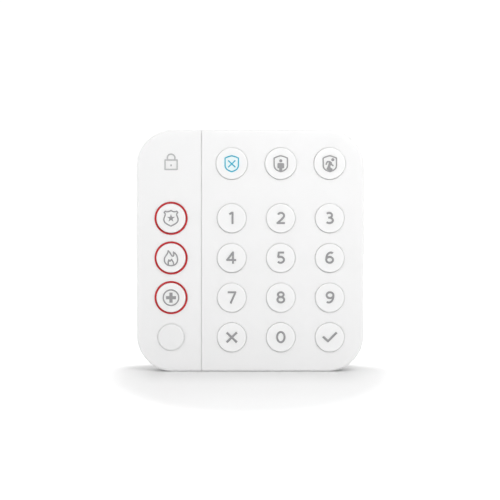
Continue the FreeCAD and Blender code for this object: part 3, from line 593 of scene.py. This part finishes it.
def path(*pieces):
    """One path from points and lists of points, without repeating a point."""
    points = []
    for piece in pieces:
        for point in piece if isinstance(piece, list) else [piece]:
            if not points or (Vector(point) - Vector(points[-1])).length > SAME_POINT:
                points.append(tuple(point))
    return points


def arc(centre, radii, start=0, end=360):
    """Points along an oval, from one angle to another in degrees. The right is 0 and the top is 90."""
    count = max(4, round(abs(end - start) / ARC_STEP))
    angles = [math.radians(start + (end - start) * step / count) for step in range(count + 1)]
    x, y = centre
    wide, tall = radii
    return [(x + wide * math.cos(angle), y + tall * math.sin(angle)) for angle in angles]


def bend(*pulls):
    """Points along a Bezier curve from the first point to the last, pulled by the ones between."""
    points = []
    for step in range(BEND_STEPS + 1):
        left = [Vector(pull) for pull in pulls]
        while len(left) > 1:
            left = [a.lerp(b, step / BEND_STEPS) for a, b in zip(left, left[1:])]
        points.append(tuple(left[0]))
    return points


def turned(points):
    """The same path turned upside down about the key's middle."""
    return [(-x, -y) for x, y in points]


def mirrored(points):
    """The path and its mirror image, joined into one outline that starts and ends at the top."""
    return path(points, [(-x, y) for x, y in reversed(points)])


print("an oval of", len(arc((0, 0), (1, 1))), "points")

# %% [markdown]
# ## Numbers
#
# The numbers are plain sans-serif ones, drawn by their centre lines: a number is a few arcs and straight runs
# of one pen width. The nine is the six turned upside down.

# %% Draw the numbers and the two signs
NUMBER_PEN = 1.0
SIGN_PEN = 1.1
SIX = [
    arc((-0.1, -1.12), (1.72, 1.48)),
    path(
        bend((-1.82, -1.1), (-1.82, 1.6), (-0.6, 2.6), (0.5, 2.6)),
        bend((0.5, 2.6), (1.1, 2.6), (1.5, 2.2)),
    ),
]
NUMBERS = {
    "0": [arc((0, 0), (1.9, 2.6))],
    "1": [path((-1.25, 1.85), (0.38, 2.85)), path((0.38, 3.1), (0.38, -3.1))],
    "2": [
        path(
            arc((0.1, 1.2), (1.55, 1.4), 160, -10),
            bend((1.63, 0.96), (1.4, -0.1), (-1.75, -2.6)),
            (2.1, -2.6),
        ),
    ],
    "3": [
        path(arc((-0.35, 1.37), (1.45, 1.23), 140, -90), (-0.8, 0.14)),
        path((-0.8, 0.14), arc((-0.25, -1.23), (1.8, 1.37), 90, -140)),
    ],
    "4": [path((0.65, 3.1), (0.65, -3.1)), path((0.65, 2.7), (-2.4, -1.2), (2.2, -1.2))],
    "5": [
        path((1.66, 2.6), (-1.05, 2.6), (-1.3, 0.1)),
        arc((-0.15, -1.08), (1.75, 1.52), 137, -140),
    ],
    "6": SIX,
    "7": [path((-2.08, 2.6), (1.85, 2.6), (-0.6, -3.1))],
    "8": [arc((0, 1.4), (1.45, 1.2)), arc((0, -1.2), (1.7, 1.4))],
    "9": [turned(stroke) for stroke in SIX],
}
CROSS_SIGN = [path((-2.6, 2.5), (2.6, -2.5)), path((-2.6, -2.5), (2.6, 2.5))]
TICK_SIGN = [path((-3.5, 0.45), (-0.95, -1.95), (3.5, 2.5))]
print("numbers drawn:", " ".join(NUMBERS))

# %% [markdown]
# ## Pictures of the mode keys
#
# The mode keys show a shield: with a cross in it for disarm, a person standing for home, and a person running
# for away. Limbs are strokes of a wider pen, and bodies are solid patches.

# %% Draw the pictures of the mode keys
PICTURE_PEN = 0.63
LIMB_PEN = 0.72
SHIELD = mirrored(
    path(
        bend((0, 4.1), (1.7, 3.8), (3.4, 2.9)),
        bend((3.4, -0.9), (3.2, -2.9), (1.6, -3.5), (0, -4.0)),
    )
)
SMALL_CROSS = [path((-1.85, 1.75), (1.85, -1.75)), path((-1.85, -1.75), (1.85, 1.75))]
STANDING_BODY = path(
    arc((1.21, -0.1), (0.5, 0.5), 0, 90),
    arc((-1.21, -0.1), (0.5, 0.5), 90, 180),
    (-1.71, -1.9),
    (-1.5, -2.25),
    (-0.79, -2.3),
    (-0.79, -3.7),
    (0.79, -3.7),
    (0.79, -2.3),
    (1.5, -2.25),
    (1.71, -1.9),
)
RUNNING_ARMS = [path((-1.98, -0.45), (-1.28, 1.1), (0.2, 1.15)), path((0.6, -0.2), (1.86, -1.05))]
RUNNING_BODY = path(
    bend((-0.85, 1.45), (0.8, 1.6), (1.2, 0.25)),
    bend((1.2, 0.25), (0.3, -0.6), (0.0, -1.6), (0.55, -2.1)),
    (1.7, -2.7),
    (0, -4.0),
    (-1.75, -2.7),
    (-1.15, -1.5),
    (-0.65, 0.0),
    (-0.6, 0.8),
)
print("shield:", len(SHIELD), "points, runner:", len(RUNNING_BODY), "points")

# %% [markdown]
# ## Pictures of the alert keys, and the padlock
#
# The alert keys show a badge with a star, a flame and a medical cross. The padlock stands at the head of the
# side strip.

# %% Draw the other pictures
BADGE = mirrored(
    path(
        bend((0, 4.0), (0.8, 3.35), (1.8, 3.1), (2.95, 3.6)),
        (3.5, 2.9),
        bend((3.5, 2.9), (2.3, 2.0), (3.2, 1.2), (3.6, -0.2)),
        bend((3.6, -0.2), (3.9, -2.4), (1.9, -3.0), (0, -4.0)),
    )
)
STAR = []
for turn, radius in enumerate([2.1, 0.85] * 5):
    angle = math.pi * turn / 5
    STAR.append((radius * math.sin(angle), radius * math.cos(angle)))
FLAME = path(
    bend((-1.45, 3.7), (0.0, 2.6), (0.2, 0.9), (1.0, 0.85)),
    bend((1.0, 0.85), (1.7, 1.2), (1.5, 2.2), (1.2, 3.0)),
    bend((1.2, 3.0), (3.0, 2.0), (3.35, 0.4), (3.35, -0.9)),
    bend((3.35, -0.9), (3.3, -3.0), (1.7, -3.95), (0, -3.95)),
    bend((0, -3.95), (-1.9, -3.95), (-3.35, -2.8), (-3.35, -1.0)),
    bend((-3.35, -1.0), (-3.35, 1.1), (-1.6, 1.5), (-1.45, 3.7)),
)
INNER_FLAME = path(
    bend((-1.3, -3.4), (-1.6, -1.9), (-1.05, -0.95)),
    (-0.55, -1.7),
    (0.3, -0.7),
    bend((0.3, -0.7), (0.5, -1.5), (1.55, -2.0), (1.25, -3.3)),
)
MEDICAL_CROSS = [(2.56, 0.8), (0.8, 0.8), (0.8, 2.56), (-0.8, 2.56), (-0.8, 0.8), (-2.56, 0.8)]
MEDICAL_CROSS += turned(MEDICAL_CROSS)
PADLOCK = [
    path((3.1, 0.9), (3.1, -3.9), (-3.1, -3.9), (-3.1, 0.9), (3.1, 0.9)),
    path((-1.9, 0.9), arc((0, 2.0), (1.9, 1.9), 180, 0), (1.9, 0.9)),
    path((0, -1.3), (0, -2.3)),
]
print("badge:", len(BADGE), "points, flame:", len(FLAME), "points")

# %% [markdown]
# ## Table of legends
#
# One table says what each key shows: its strokes with their pen width, and its solid patches.

# %% List the legends
NUMBER_RISE = 0.16
PICTURE_RISE = -0.2
HEAD_RADIUS = 0.8


def penned(pen, strokes):
    return [(pen, stroke) for stroke in strokes]


def head(x, y):
    return arc((x, y), (HEAD_RADIUS, HEAD_RADIUS))[:-1]


def raised(rise, drawing):
    """The same strokes and patches, higher on the key."""
    strokes, patches = drawing
    lifted = [(pen, [(x, y + rise) for x, y in stroke]) for pen, stroke in strokes]
    return lifted, [[(x, y + rise) for x, y in patch] for patch in patches]


LEGENDS = {
    f"key_{number}": raised(NUMBER_RISE, (penned(NUMBER_PEN, strokes), []))
    for number, strokes in NUMBERS.items()
}
LEGENDS["key_cancel"] = (penned(SIGN_PEN, CROSS_SIGN), [])
LEGENDS["key_enter"] = (penned(SIGN_PEN, TICK_SIGN), [])
MODE_PICTURES = {
    "key_disarm": (penned(PICTURE_PEN, [SHIELD] + SMALL_CROSS), []),
    "key_home": (penned(PICTURE_PEN, [SHIELD]), [head(0.0, 1.56), STANDING_BODY]),
    "key_away": (
        penned(PICTURE_PEN, [SHIELD]) + penned(LIMB_PEN, RUNNING_ARMS),
        [head(1.51, 2.1), RUNNING_BODY],
    ),
}
for key, picture in MODE_PICTURES.items():
    LEGENDS[key] = raised(PICTURE_RISE, picture)
LEGENDS["key_police"] = (penned(PICTURE_PEN, [BADGE]), [STAR])
LEGENDS["key_fire"] = (penned(PICTURE_PEN, [FLAME, INNER_FLAME]), [])
LEGENDS["key_medical"] = (penned(PICTURE_PEN, [arc((0, 0), (3.95, 3.95))]), [MEDICAL_CROSS])
print("legends:", len(LEGENDS))

# %% [markdown]
# ## Geometry Nodes trees
#
# A tree takes a source mesh and grows a shape from it. The helpers below open a tree with named inputs, close
# it with its material, and run it. A finished tree's result is copied into a plain mesh, so nothing is left
# for the modifier to do later.


# %% Helpers for Geometry Nodes
def open_tree(name, **inputs):
    """A new tree and the wires of its inputs: first the source geometry, then the named ones."""
    tree = bpy.data.node_groups.new(name, "GeometryNodeTree")
    tree.interface.new_socket("Source", in_out="INPUT", socket_type="NodeSocketGeometry")
    for label, kind in inputs.items():
        tree.interface.new_socket(label, in_out="INPUT", socket_type="NodeSocket" + kind)
    tree.interface.new_socket("Shape", in_out="OUTPUT", socket_type="NodeSocketGeometry")
    start = tree.nodes.new("NodeGroupInput")
    return tree, [Wire(tree, socket) for socket in start.outputs[: len(inputs) + 1]]


def close_tree(tree, shape, finish):
    """Realize the shape, give it its material and link it to the tree's output."""
    solid = shape.node("GeometryNodeRealizeInstances", inputs={0: shape})
    painted = shape.node("GeometryNodeSetMaterial", inputs={0: solid, 2: finish})
    end = tree.nodes.new("NodeGroupOutput")
    tree.links.new(painted.socket, end.inputs[0])
    return tree


def grow(tree, source, **values):
    """Run a tree on a source mesh and return a plain mesh. values set the tree's named inputs."""
    seed = bpy.data.objects.new("seed", source)
    scene.collection.objects.link(seed)
    modifier = seed.modifiers.new("grow", "NODES")
    modifier.node_group = tree
    for item in tree.interface.items_tree:
        if item.name in values:
            modifier[item.identifier] = values[item.name]
    graph = bpy.context.evaluated_depsgraph_get()
    mesh = bpy.data.meshes.new_from_object(seed.evaluated_get(graph), depsgraph=graph)
    bpy.data.objects.remove(seed)
    return mesh


def place_piece(name, mesh, body, slot):
    """Put a mesh in the scene as a piece that rides on a body."""
    piece = bpy.data.objects.new(name, mesh)
    scene.collection.objects.link(piece)
    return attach(piece, body)


print("helpers:", ", ".join(helper.__name__ for helper in (open_tree, close_tree, grow, place_piece)))

# %% [markdown]
# ## Legend film
#
# The source mesh carries a whole drawing. Its loose edges are the strokes, its faces are the solid patches,
# and each point has the width of its pen. Curve to Mesh sweeps a flat section along the strokes. It would
# pinch a stroke at a sharp corner, so the strokes are split there and a disc closes each corner. The solid
# patches are extruded. A Boolean then melts the overlapping pieces into one film, with no face hidden inside.

# %% Build the legend tree
FILM_THICKNESS = 0.04
DISC_SIDES = 24
WELD = 0.0001


def make_legend_tree():
    """The film of a drawing. Its pieces are made one unit thick and are then pressed to the thickness."""
    tree, wires = open_tree("legend_film", Thickness="Float", Finish="Material")
    source, thickness, finish = wires
    pen = source.node("GeometryNodeInputNamedAttribute", {"data_type": "FLOAT"}, {0: "pen"})
    corner = source.node("GeometryNodeInputNamedAttribute", {"data_type": "BOOLEAN"}, {0: "corner"})
    faces_beside = source.node("GeometryNodeInputMeshEdgeNeighbors")

    strokes = source.node("GeometryNodeMeshToCurve", inputs={0: source, 1: faces_beside < 1})
    section = source.node("GeometryNodeCurvePrimitiveQuadrilateral", inputs={0: 1.0, 1: 1.0})
    swept = source.node("GeometryNodeCurveToMesh", inputs={0: strokes, 1: section, 2: pen, 3: True})

    disc = source.node("GeometryNodeMeshCylinder", inputs={0: DISC_SIDES, 3: 0.5, 4: 1.0})
    discs = source.node("GeometryNodeInstanceOnPoints", inputs={0: source, 1: corner, 2: disc, 6: pen})

    patches = source.node("GeometryNodeSeparateGeometry", {"domain": "FACE"}, {0: source, 1: True})
    up = source.node("ShaderNodeCombineXYZ", inputs={2: 1.0})
    risen = source.node("GeometryNodeExtrudeMesh", inputs={0: patches, 2: up, 3: 1.0, 4: False})
    under = source.node("GeometryNodeFlipFaces", inputs={0: patches})
    blocks = source.node("GeometryNodeMergeByDistance", inputs={0: risen.join(under), 2: WELD})
    down = source.node("ShaderNodeCombineXYZ", inputs={2: -0.5})
    centred = source.node("GeometryNodeSetPosition", inputs={0: blocks, 3: down})

    flat_discs = source.node("GeometryNodeRealizeInstances", inputs={0: discs})
    parts = swept.join(flat_discs, centred)
    x, y, z = source.node("GeometryNodeInputPosition").parts()
    side = (z > 0) - 0.5
    flat = source.node("ShaderNodeCombineXYZ", inputs={0: x, 1: y, 2: side * thickness})
    pressed = source.node("GeometryNodeSetPosition", inputs={0: parts, 2: flat})
    union = {"operation": "UNION", "solver": "EXACT"}
    melted = source.node("GeometryNodeMeshBoolean", union, {1: pressed, 2: True, 3: False})
    return close_tree(tree, melted, finish)


legend_tree = make_legend_tree()
print("legend tree:", len(legend_tree.nodes), "nodes")

# %% [markdown]
# ## From a drawing to a source mesh
#
# A path is split wherever it turns sharply, and the corner point is marked so that the tree puts its disc
# there. A closed path's seam is marked too, because its first and last sections don't quite meet.

# %% Turn drawings into source meshes
SHARP_TURN = math.radians(20)


def smooth_runs(stroke):
    """The smooth stretches of a stroke, and the corners between them."""
    points = [Vector(point) for point in stroke]
    runs = [[points[0]]]
    corners = []
    for before, here, after in zip(points, points[1:], points[2:]):
        runs[-1].append(here)
        if (here - before).angle(after - here) > SHARP_TURN:
            corners.append(here)
            runs.append([here])
    runs[-1].append(points[-1])
    if (points[0] - points[-1]).length < SAME_POINT:
        corners.append(points[0])
    return runs, corners


def anticlockwise(points):
    """The outline in the order that makes its face look up."""
    pairs = zip(points, points[1:] + points[:1])
    area = sum(x0 * y1 - x1 * y0 for (x0, y0), (x1, y1) in pairs)
    return points if area > 0 else points[::-1]


def drawing_mesh(strokes, patches):
    """A mesh with edges for the strokes' runs, a face for each patch, and a point for each corner."""
    points, edges, faces, pens, marks = [], [], [], [], []

    def add(path_points, pen, is_corner):
        first = len(points)
        points.extend((x, y, 0.0) for x, y in path_points)
        pens.extend([pen] * len(path_points))
        marks.extend([is_corner] * len(path_points))
        return range(first, len(points))

    for pen, stroke in strokes:
        runs, corners = smooth_runs(stroke)
        for run in runs:
            row = add(run, pen, False)
            edges.extend(zip(row, row[1:]))
        add(corners, pen, True)
    for patch in patches:
        faces.append(tuple(add(anticlockwise(patch), 1.0, False)))
    mesh = bpy.data.meshes.new("drawing")
    mesh.from_pydata(points, edges, faces)
    mesh.attributes.new("pen", "FLOAT", "POINT").data.foreach_set("value", pens)
    mesh.attributes.new("corner", "BOOLEAN", "POINT").data.foreach_set("value", marks)
    return mesh


print("the badge has", len(smooth_runs(BADGE)[1]), "corners")

# %% [markdown]
# ## Legends on the keys
#
# The drawings lie in X and Y. A quarter turn stands each one up to face the viewer, and its key's box gives
# its place. Half of the film's thickness sinks into the key, so that no gap shows behind it.

# %% Print the legends
FACING = Matrix.Rotation(math.radians(90), 4, "X") @ Matrix.Scale(MM, 4)


def print_legend(name, drawing, body, centre, ink):
    """Grow a drawing's film and lay it on a surface that faces the viewer."""
    film = grow(legend_tree, drawing_mesh(*drawing), Thickness=FILM_THICKNESS, Finish=ink)
    film.transform(Matrix.Translation(centre) @ FACING)
    return place_piece(name, film, body, "legend_film")


triangles = 0
for key, drawing in LEGENDS.items():
    ink = blue_ink if key == LIT_KEY else grey_ink
    legend = print_legend(key.replace("key", "legend"), drawing, key, KEY_TOPS[key], ink)
    legend.data.calc_loop_triangles()
    triangles += len(legend.data.loop_triangles)
print("legends:", len(LEGENDS), "with", triangles, "triangles")

# %% [markdown]
# ## Padlock at the head of the side strip
#
# A plain padlock is printed where a maker would put its mark. It lies on the face itself, so its depth is the
# face's front, and it is level with the mode keys.

# %% Print the padlock
PADLOCK_PEN = 0.7
PADLOCK_RISE = 0.9

strip_low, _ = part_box("side_strip")
padlock_place = Vector((KEY_TOPS["key_fire"].x, strip_low.y, KEY_TOPS["key_disarm"].z))
padlock = raised(PADLOCK_RISE, (penned(PADLOCK_PEN, PADLOCK), []))
print_legend("padlock_mark", padlock, "case", padlock_place, badge_ink)
print("padlock at", [round(value / MM, 1) for value in padlock_place])

# %% [markdown]
# ## Wires and strips
#
# Behind the speaker's slots lies a woven mesh that keeps dust out, and in the charging port lie rows of gold
# contacts. Both are wires along straight lines, so one tree makes both: it sweeps a section along the edges
# of its source. To weave, it moves each wire up and down by a wave. Neighbouring wires and crossing wires get
# the wave the other way up, so that they pass over and under each other. The source keeps with each point the
# side its wire starts on, which is 1 or -1.


# %% Build the wire tree and its source
def make_wire_tree():
    """Wires along the source's edges, with a section of Width by Height and waves as high as Weave."""
    sizes = {"Width": "Float", "Height": "Float", "Weave": "Float", "Pitch": "Float"}
    tree, (source, width, height, weave, pitch, finish) = open_tree("wires", **sizes, Finish="Material")
    side = source.node("GeometryNodeInputNamedAttribute", {"data_type": "FLOAT"}, {0: "side"})
    x, y, _ = source.node("GeometryNodeInputPosition").parts()
    wave_x = x.maths("SINE", x / pitch * math.pi)
    wave_y = y.maths("COSINE", y / pitch * math.pi)
    wave = wave_x * wave_y * weave * side
    lift = source.node("ShaderNodeCombineXYZ", inputs={2: wave})
    wires = source.node("GeometryNodeMeshToCurve", inputs={0: source})
    woven = source.node("GeometryNodeSetPosition", inputs={0: wires, 3: lift})
    section = source.node("GeometryNodeCurvePrimitiveQuadrilateral", inputs={0: width, 1: height})
    swept = source.node("GeometryNodeCurveToMesh", inputs={0: woven, 1: section, 3: True})
    return close_tree(tree, swept, finish)


def wire_mesh(wires):
    """A source mesh from wires, each of which is its side and a row of points."""
    points, edges, sides = [], [], []
    for side, row in wires:
        first = len(points)
        points.extend(row)
        sides.extend([side] * len(row))
        edges.extend((first + step, first + step + 1) for step in range(len(row) - 1))
    mesh = bpy.data.meshes.new("wires")
    mesh.from_pydata(points, edges, [])
    mesh.attributes.new("side", "FLOAT", "POINT").data.foreach_set("value", sides)
    return mesh


wire_tree = make_wire_tree()
print("wire tree:", len(wire_tree.nodes), "nodes")

# %% [markdown]
# ## Dust mesh of the speaker
#
# The gasket's box gives the mesh its place and size: it fills the opening inside the gasket's rim. It is
# woven flat, with its long wires along X, and then stood up behind the slots.

# %% Weave the speaker's dust mesh
MESH_PITCH = 0.6 * MM
MESH_WIRE = 0.2 * MM
MESH_WAVE = 0.11 * MM
STEPS_PER_CROSSING = 3
GASKET_RIM = 1.3 * MM


def stops_along(crossings):
    """Places along a wire that passes this many crossings, about its middle."""
    steps = crossings * STEPS_PER_CROSSING
    return [crossings * MESH_PITCH * (step / steps - 0.5) for step in range(steps + 1)]


gasket_low, gasket_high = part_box("speaker_gasket")
across = round((gasket_high.y - gasket_low.y - 2 * GASKET_RIM) / MESH_PITCH)
along = round((gasket_high.z - gasket_low.z - 2 * GASKET_RIM) / MESH_PITCH)
mesh_wires = []
for index in range(across):
    y = MESH_PITCH * (index - across // 2)
    mesh_wires.append((1, [(x, y, 0) for x in stops_along(along)]))
for index in range(along - 1):
    x = MESH_PITCH * (index - along // 2 + 0.5)
    mesh_wires.append((-1, [(x, y, 0) for y in stops_along(across)]))
weaving = {"Width": MESH_WIRE, "Height": MESH_WIRE, "Weave": MESH_WAVE, "Pitch": MESH_PITCH}
dust_mesh = grow(wire_tree, wire_mesh(mesh_wires), Finish=soft_black, **weaving)
upright = Matrix.Rotation(math.radians(90), 4, "Y")
dust_mesh.transform(Matrix.Translation((gasket_low + gasket_high) / 2) @ upright)
place_piece("speaker_dust_mesh", dust_mesh, "case", "black_plastic")
print("dust mesh:", across, "by", along - 1, "wires,", len(dust_mesh.polygons), "faces")

# %% [markdown]
# ## Contacts of the charging port
#
# Each face of the port's tongue carries a row of gold strips. Their front ends dip into the tongue, as the
# real ones do so that a plug can't catch them.

# %% Lay the contacts
CONTACT_COUNT = 7
CONTACT_PITCH = 0.5 * MM
CONTACT_THICKNESS = 0.05 * MM
CONTACT_WIDTH = 0.26 * MM
CONTACT_DIP = 0.05 * MM
CONTACT_MARGIN = 0.5 * MM

tongue_low, tongue_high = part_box("usb_tongue")
front = tongue_high.x - CONTACT_MARGIN
strips = []
for face_y, inward in ((tongue_low.y, 1), (tongue_high.y, -1)):
    for index in range(CONTACT_COUNT):
        z = (tongue_low.z + tongue_high.z) / 2 + (index - (CONTACT_COUNT - 1) / 2) * CONTACT_PITCH
        heel = (tongue_low.x + CONTACT_MARGIN, face_y, z)
        bend_start = (front - CONTACT_MARGIN, face_y, z)
        strips.append((1, [heel, bend_start, (front, face_y + inward * CONTACT_DIP, z)]))
flat = {"Width": CONTACT_THICKNESS, "Height": CONTACT_WIDTH, "Weave": 0.0, "Pitch": CONTACT_PITCH}
contacts = grow(wire_tree, wire_mesh(strips), Finish=contact_gold, **flat)
place_piece("usb_contacts", contacts, "case", "contact_gold")
print("contacts:", len(strips), "strips")

# %% [markdown]
# ## Domes under the keys
#
# Each key stands on a hollow silicone dome that collapses under a finger. The frame's mat is one rigid piece,
# so its domes would stand still and poke into a pressed key. Round cutters split a copy of it: what they take
# out becomes the domes, each a piece of its own, and what they leave is the sheet between them.


# %% Build the trees that split the mat
CUTTER_SIDES = 48
MAT_WELD = 0.001 * MM


def make_split_tree(operation):
    """Cut the source with a round cutter at each of its loose points, which are marked as places."""
    tree, wires = open_tree(operation, Radius="Float", Depth="Float", Finish="Material")
    source, radius, depth, finish = wires
    places = source.node("GeometryNodeInputNamedAttribute", {"data_type": "BOOLEAN"}, {0: "place"})
    cutter = source.node("GeometryNodeMeshCylinder", inputs={0: CUTTER_SIDES, 3: radius, 4: depth})
    aimed_back = {0: source, 1: places, 2: cutter, 5: (math.pi / 2, 0, 0)}
    instances = source.node("GeometryNodeInstanceOnPoints", inputs=aimed_back)
    cutters = source.node("GeometryNodeRealizeInstances", inputs={0: instances})
    faces = source.node("GeometryNodeSeparateGeometry", {"domain": "FACE"}, {0: source, 1: True})
    mat = source.node("GeometryNodeMergeByDistance", inputs={0: faces, 2: MAT_WELD})
    settings = {"operation": operation, "solver": "EXACT"}
    mat_input = 0 if operation == "DIFFERENCE" else 1
    cut = source.node("GeometryNodeMeshBoolean", settings, {mat_input: mat})
    tree.links.new(cutters.socket, cut.socket.node.inputs[1])
    return close_tree(tree, cut, finish)


leave_sheet = make_split_tree("DIFFERENCE")
take_dome = make_split_tree("INTERSECT")
print("split trees:", leave_sheet.name, take_dome.name)

# %% [markdown]
# ## Mat and domes as pieces
#
# The cutters stand at the domes' feet, which are straight behind the keys. Each key's travel is read from its
# joint in the frame, but no dome is flattened by it: each is a still piece of its own that rides on the case.


# %% Split the mat into its sheet and its domes
DOME_ROOM = {"Radius": 4.3 * MM, "Depth": 8 * MM, "Finish": dome_silicone}
CREASE = math.radians(30)


def with_places(mesh, places):
    """A copy of a mesh with a marked loose point at each place."""
    marked = mesh.copy()
    first = len(marked.vertices)
    marked.vertices.add(len(places))
    for index, place in enumerate(places):
        marked.vertices[first + index].co = place
    marks = [index >= first for index in range(len(marked.vertices))]
    marked.attributes.new("place", "BOOLEAN", "POINT").data.foreach_set("value", marks)
    return marked


def crisp(mesh):
    """Smooth shading with sharp edges where the surface turns."""
    mesh.shade_smooth()
    mesh.set_sharp_from_angle(angle=CREASE)
    return mesh


mat_low, mat_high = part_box("dome_mat")
mat_mesh = nodes["dome_mat"].data
dome_feet = {key: Vector((top.x, mat_high.y, top.z)) for key, top in KEY_TOPS.items()}
all_feet = with_places(mat_mesh, list(dome_feet.values()))
sheet = crisp(grow(leave_sheet, all_feet, **DOME_ROOM))
sheet_piece = place_piece("dome_sheet", sheet, "case", "dome_silicone")
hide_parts("dome_mat")

travel = {joint["name"]: joint["range_m"][1] for joint in frame["record"]["behaviour"]["joints"]}
dome_height = mat_high.y - mat_low.y
for key, foot in dome_feet.items():
    dome = crisp(grow(take_dome, with_places(mat_mesh, [foot]), **DOME_ROOM))
    dome_piece = place_piece(key.replace("key", "dome"), dome, "case", "dome_silicone")
    keep = 1 - travel[f"{key}_press"] / dome_height
    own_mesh(dome_piece)
print("domes:", len(dome_feet), "sheet faces:", len(sheet.polygons))

# %% [markdown]
# ## Floor
#
# The floor is a pale sheet without an edge in view. A real white sweep is lit until it burns out to pure
# white, and it stays darker only around what stands on it. Here both are painted: a painted glow that starts
# at a distance from the case's foot and that only the camera sees, so it doesn't light the case, and a
# painted shade that darkens the floor's tone at the foot.

# %% Lay the floor
FLOOR_SIZE = 40.0
FLOOR_GAP = 0.02 * MM
# Painted shade: the floor's tone at the case's foot, where its contact shadow falls.
PAINTED_FOOT_SHADE = 0.76
FLOOR_TONE = 0.92
# Painted light: a glow that only the camera sees, left out around the case so the floor there looks shaded.
FULL_PAINTED_GLOW = 0.6
GLOW_START = 1.0
GLOW_END = 1.6
PAINTED_SHADE_REACH = {"half_width": 45 * MM, "beside": 18 * MM, "ahead": 90 * MM, "behind": 60 * MM}
PAINTED_GLOW_REACH = {"half_width": 0.0, "beside": 59 * MM, "ahead": 180 * MM, "behind": 40 * MM}


def distance_out(place, half_width, beside, ahead, behind):
    """Distance from the case's foot. It is 1 at the reach given for the sides, the front and the back."""
    x, y, _ = place.parts()
    sideways = x.maths("MAXIMUM", x.maths("ABSOLUTE", x) - half_width, 0.0) * (1 / beside)
    lengthways = y.maths("MAXIMUM", y * (1 / behind), y * (-1 / ahead))
    return x.maths("SQRT", sideways * sideways + lengthways * lengthways)


def rise(distance, start, end):
    """Smooth rise from 0 to 1 between two distances."""
    settings = {"interpolation_type": "SMOOTHSTEP"}
    return distance.node("ShaderNodeMapRange", settings, {0: distance, 1: start, 2: end})


def floor_finish():
    """Pale sweep with a painted shade that darkens it at the case's foot, and a painted glow far from it."""
    uniform = {"Emission Strength": 1.0, "Specular IOR Level": 0.3}
    material, shader, place = new_finish("floor_paint", uniform)
    speckle = place.noise(300.0, detail=3.0)
    away = rise(distance_out(place, **PAINTED_SHADE_REACH), 0.0, 1.0) + (speckle - 0.5) * 0.1
    # Painted shade: the tone darkens towards the case's foot.
    tint = away.mix(grey_colour(PAINTED_FOOT_SHADE), grey_colour(FLOOR_TONE))
    camera_ray = place.node("ShaderNodeLightPath")
    # Painted light: the glow's mask, off near the case and on far from it, for camera rays only.
    far = rise(distance_out(place, **PAINTED_GLOW_REACH), GLOW_START, GLOW_END) * camera_ray
    glow = far.mix(grey_colour(0.0), grey_colour(FULL_PAINTED_GLOW))
    gloss = speckle * 0.06 + 0.4
    return feed(material, shader, base_color=tint, emission_color=glow, roughness=gloss)


reach = FLOOR_SIZE / 2
corners = [(x * reach, y * reach, -FLOOR_GAP) for x, y in ((-1, -1), (1, -1), (1, 1), (-1, 1))]
floor_mesh = bpy.data.meshes.new("floor")
floor_mesh.from_pydata(corners, [], [(0, 1, 2, 3)])
floor_mesh.materials.append(floor_finish())
floor = bpy.data.objects.new("floor", floor_mesh)
scene.collection.objects.link(floor)
print("floor:", FLOOR_SIZE, "m square")

# %% [markdown]
# ## Sizes
#
# The printed film and the small added parts must not make the object bigger.
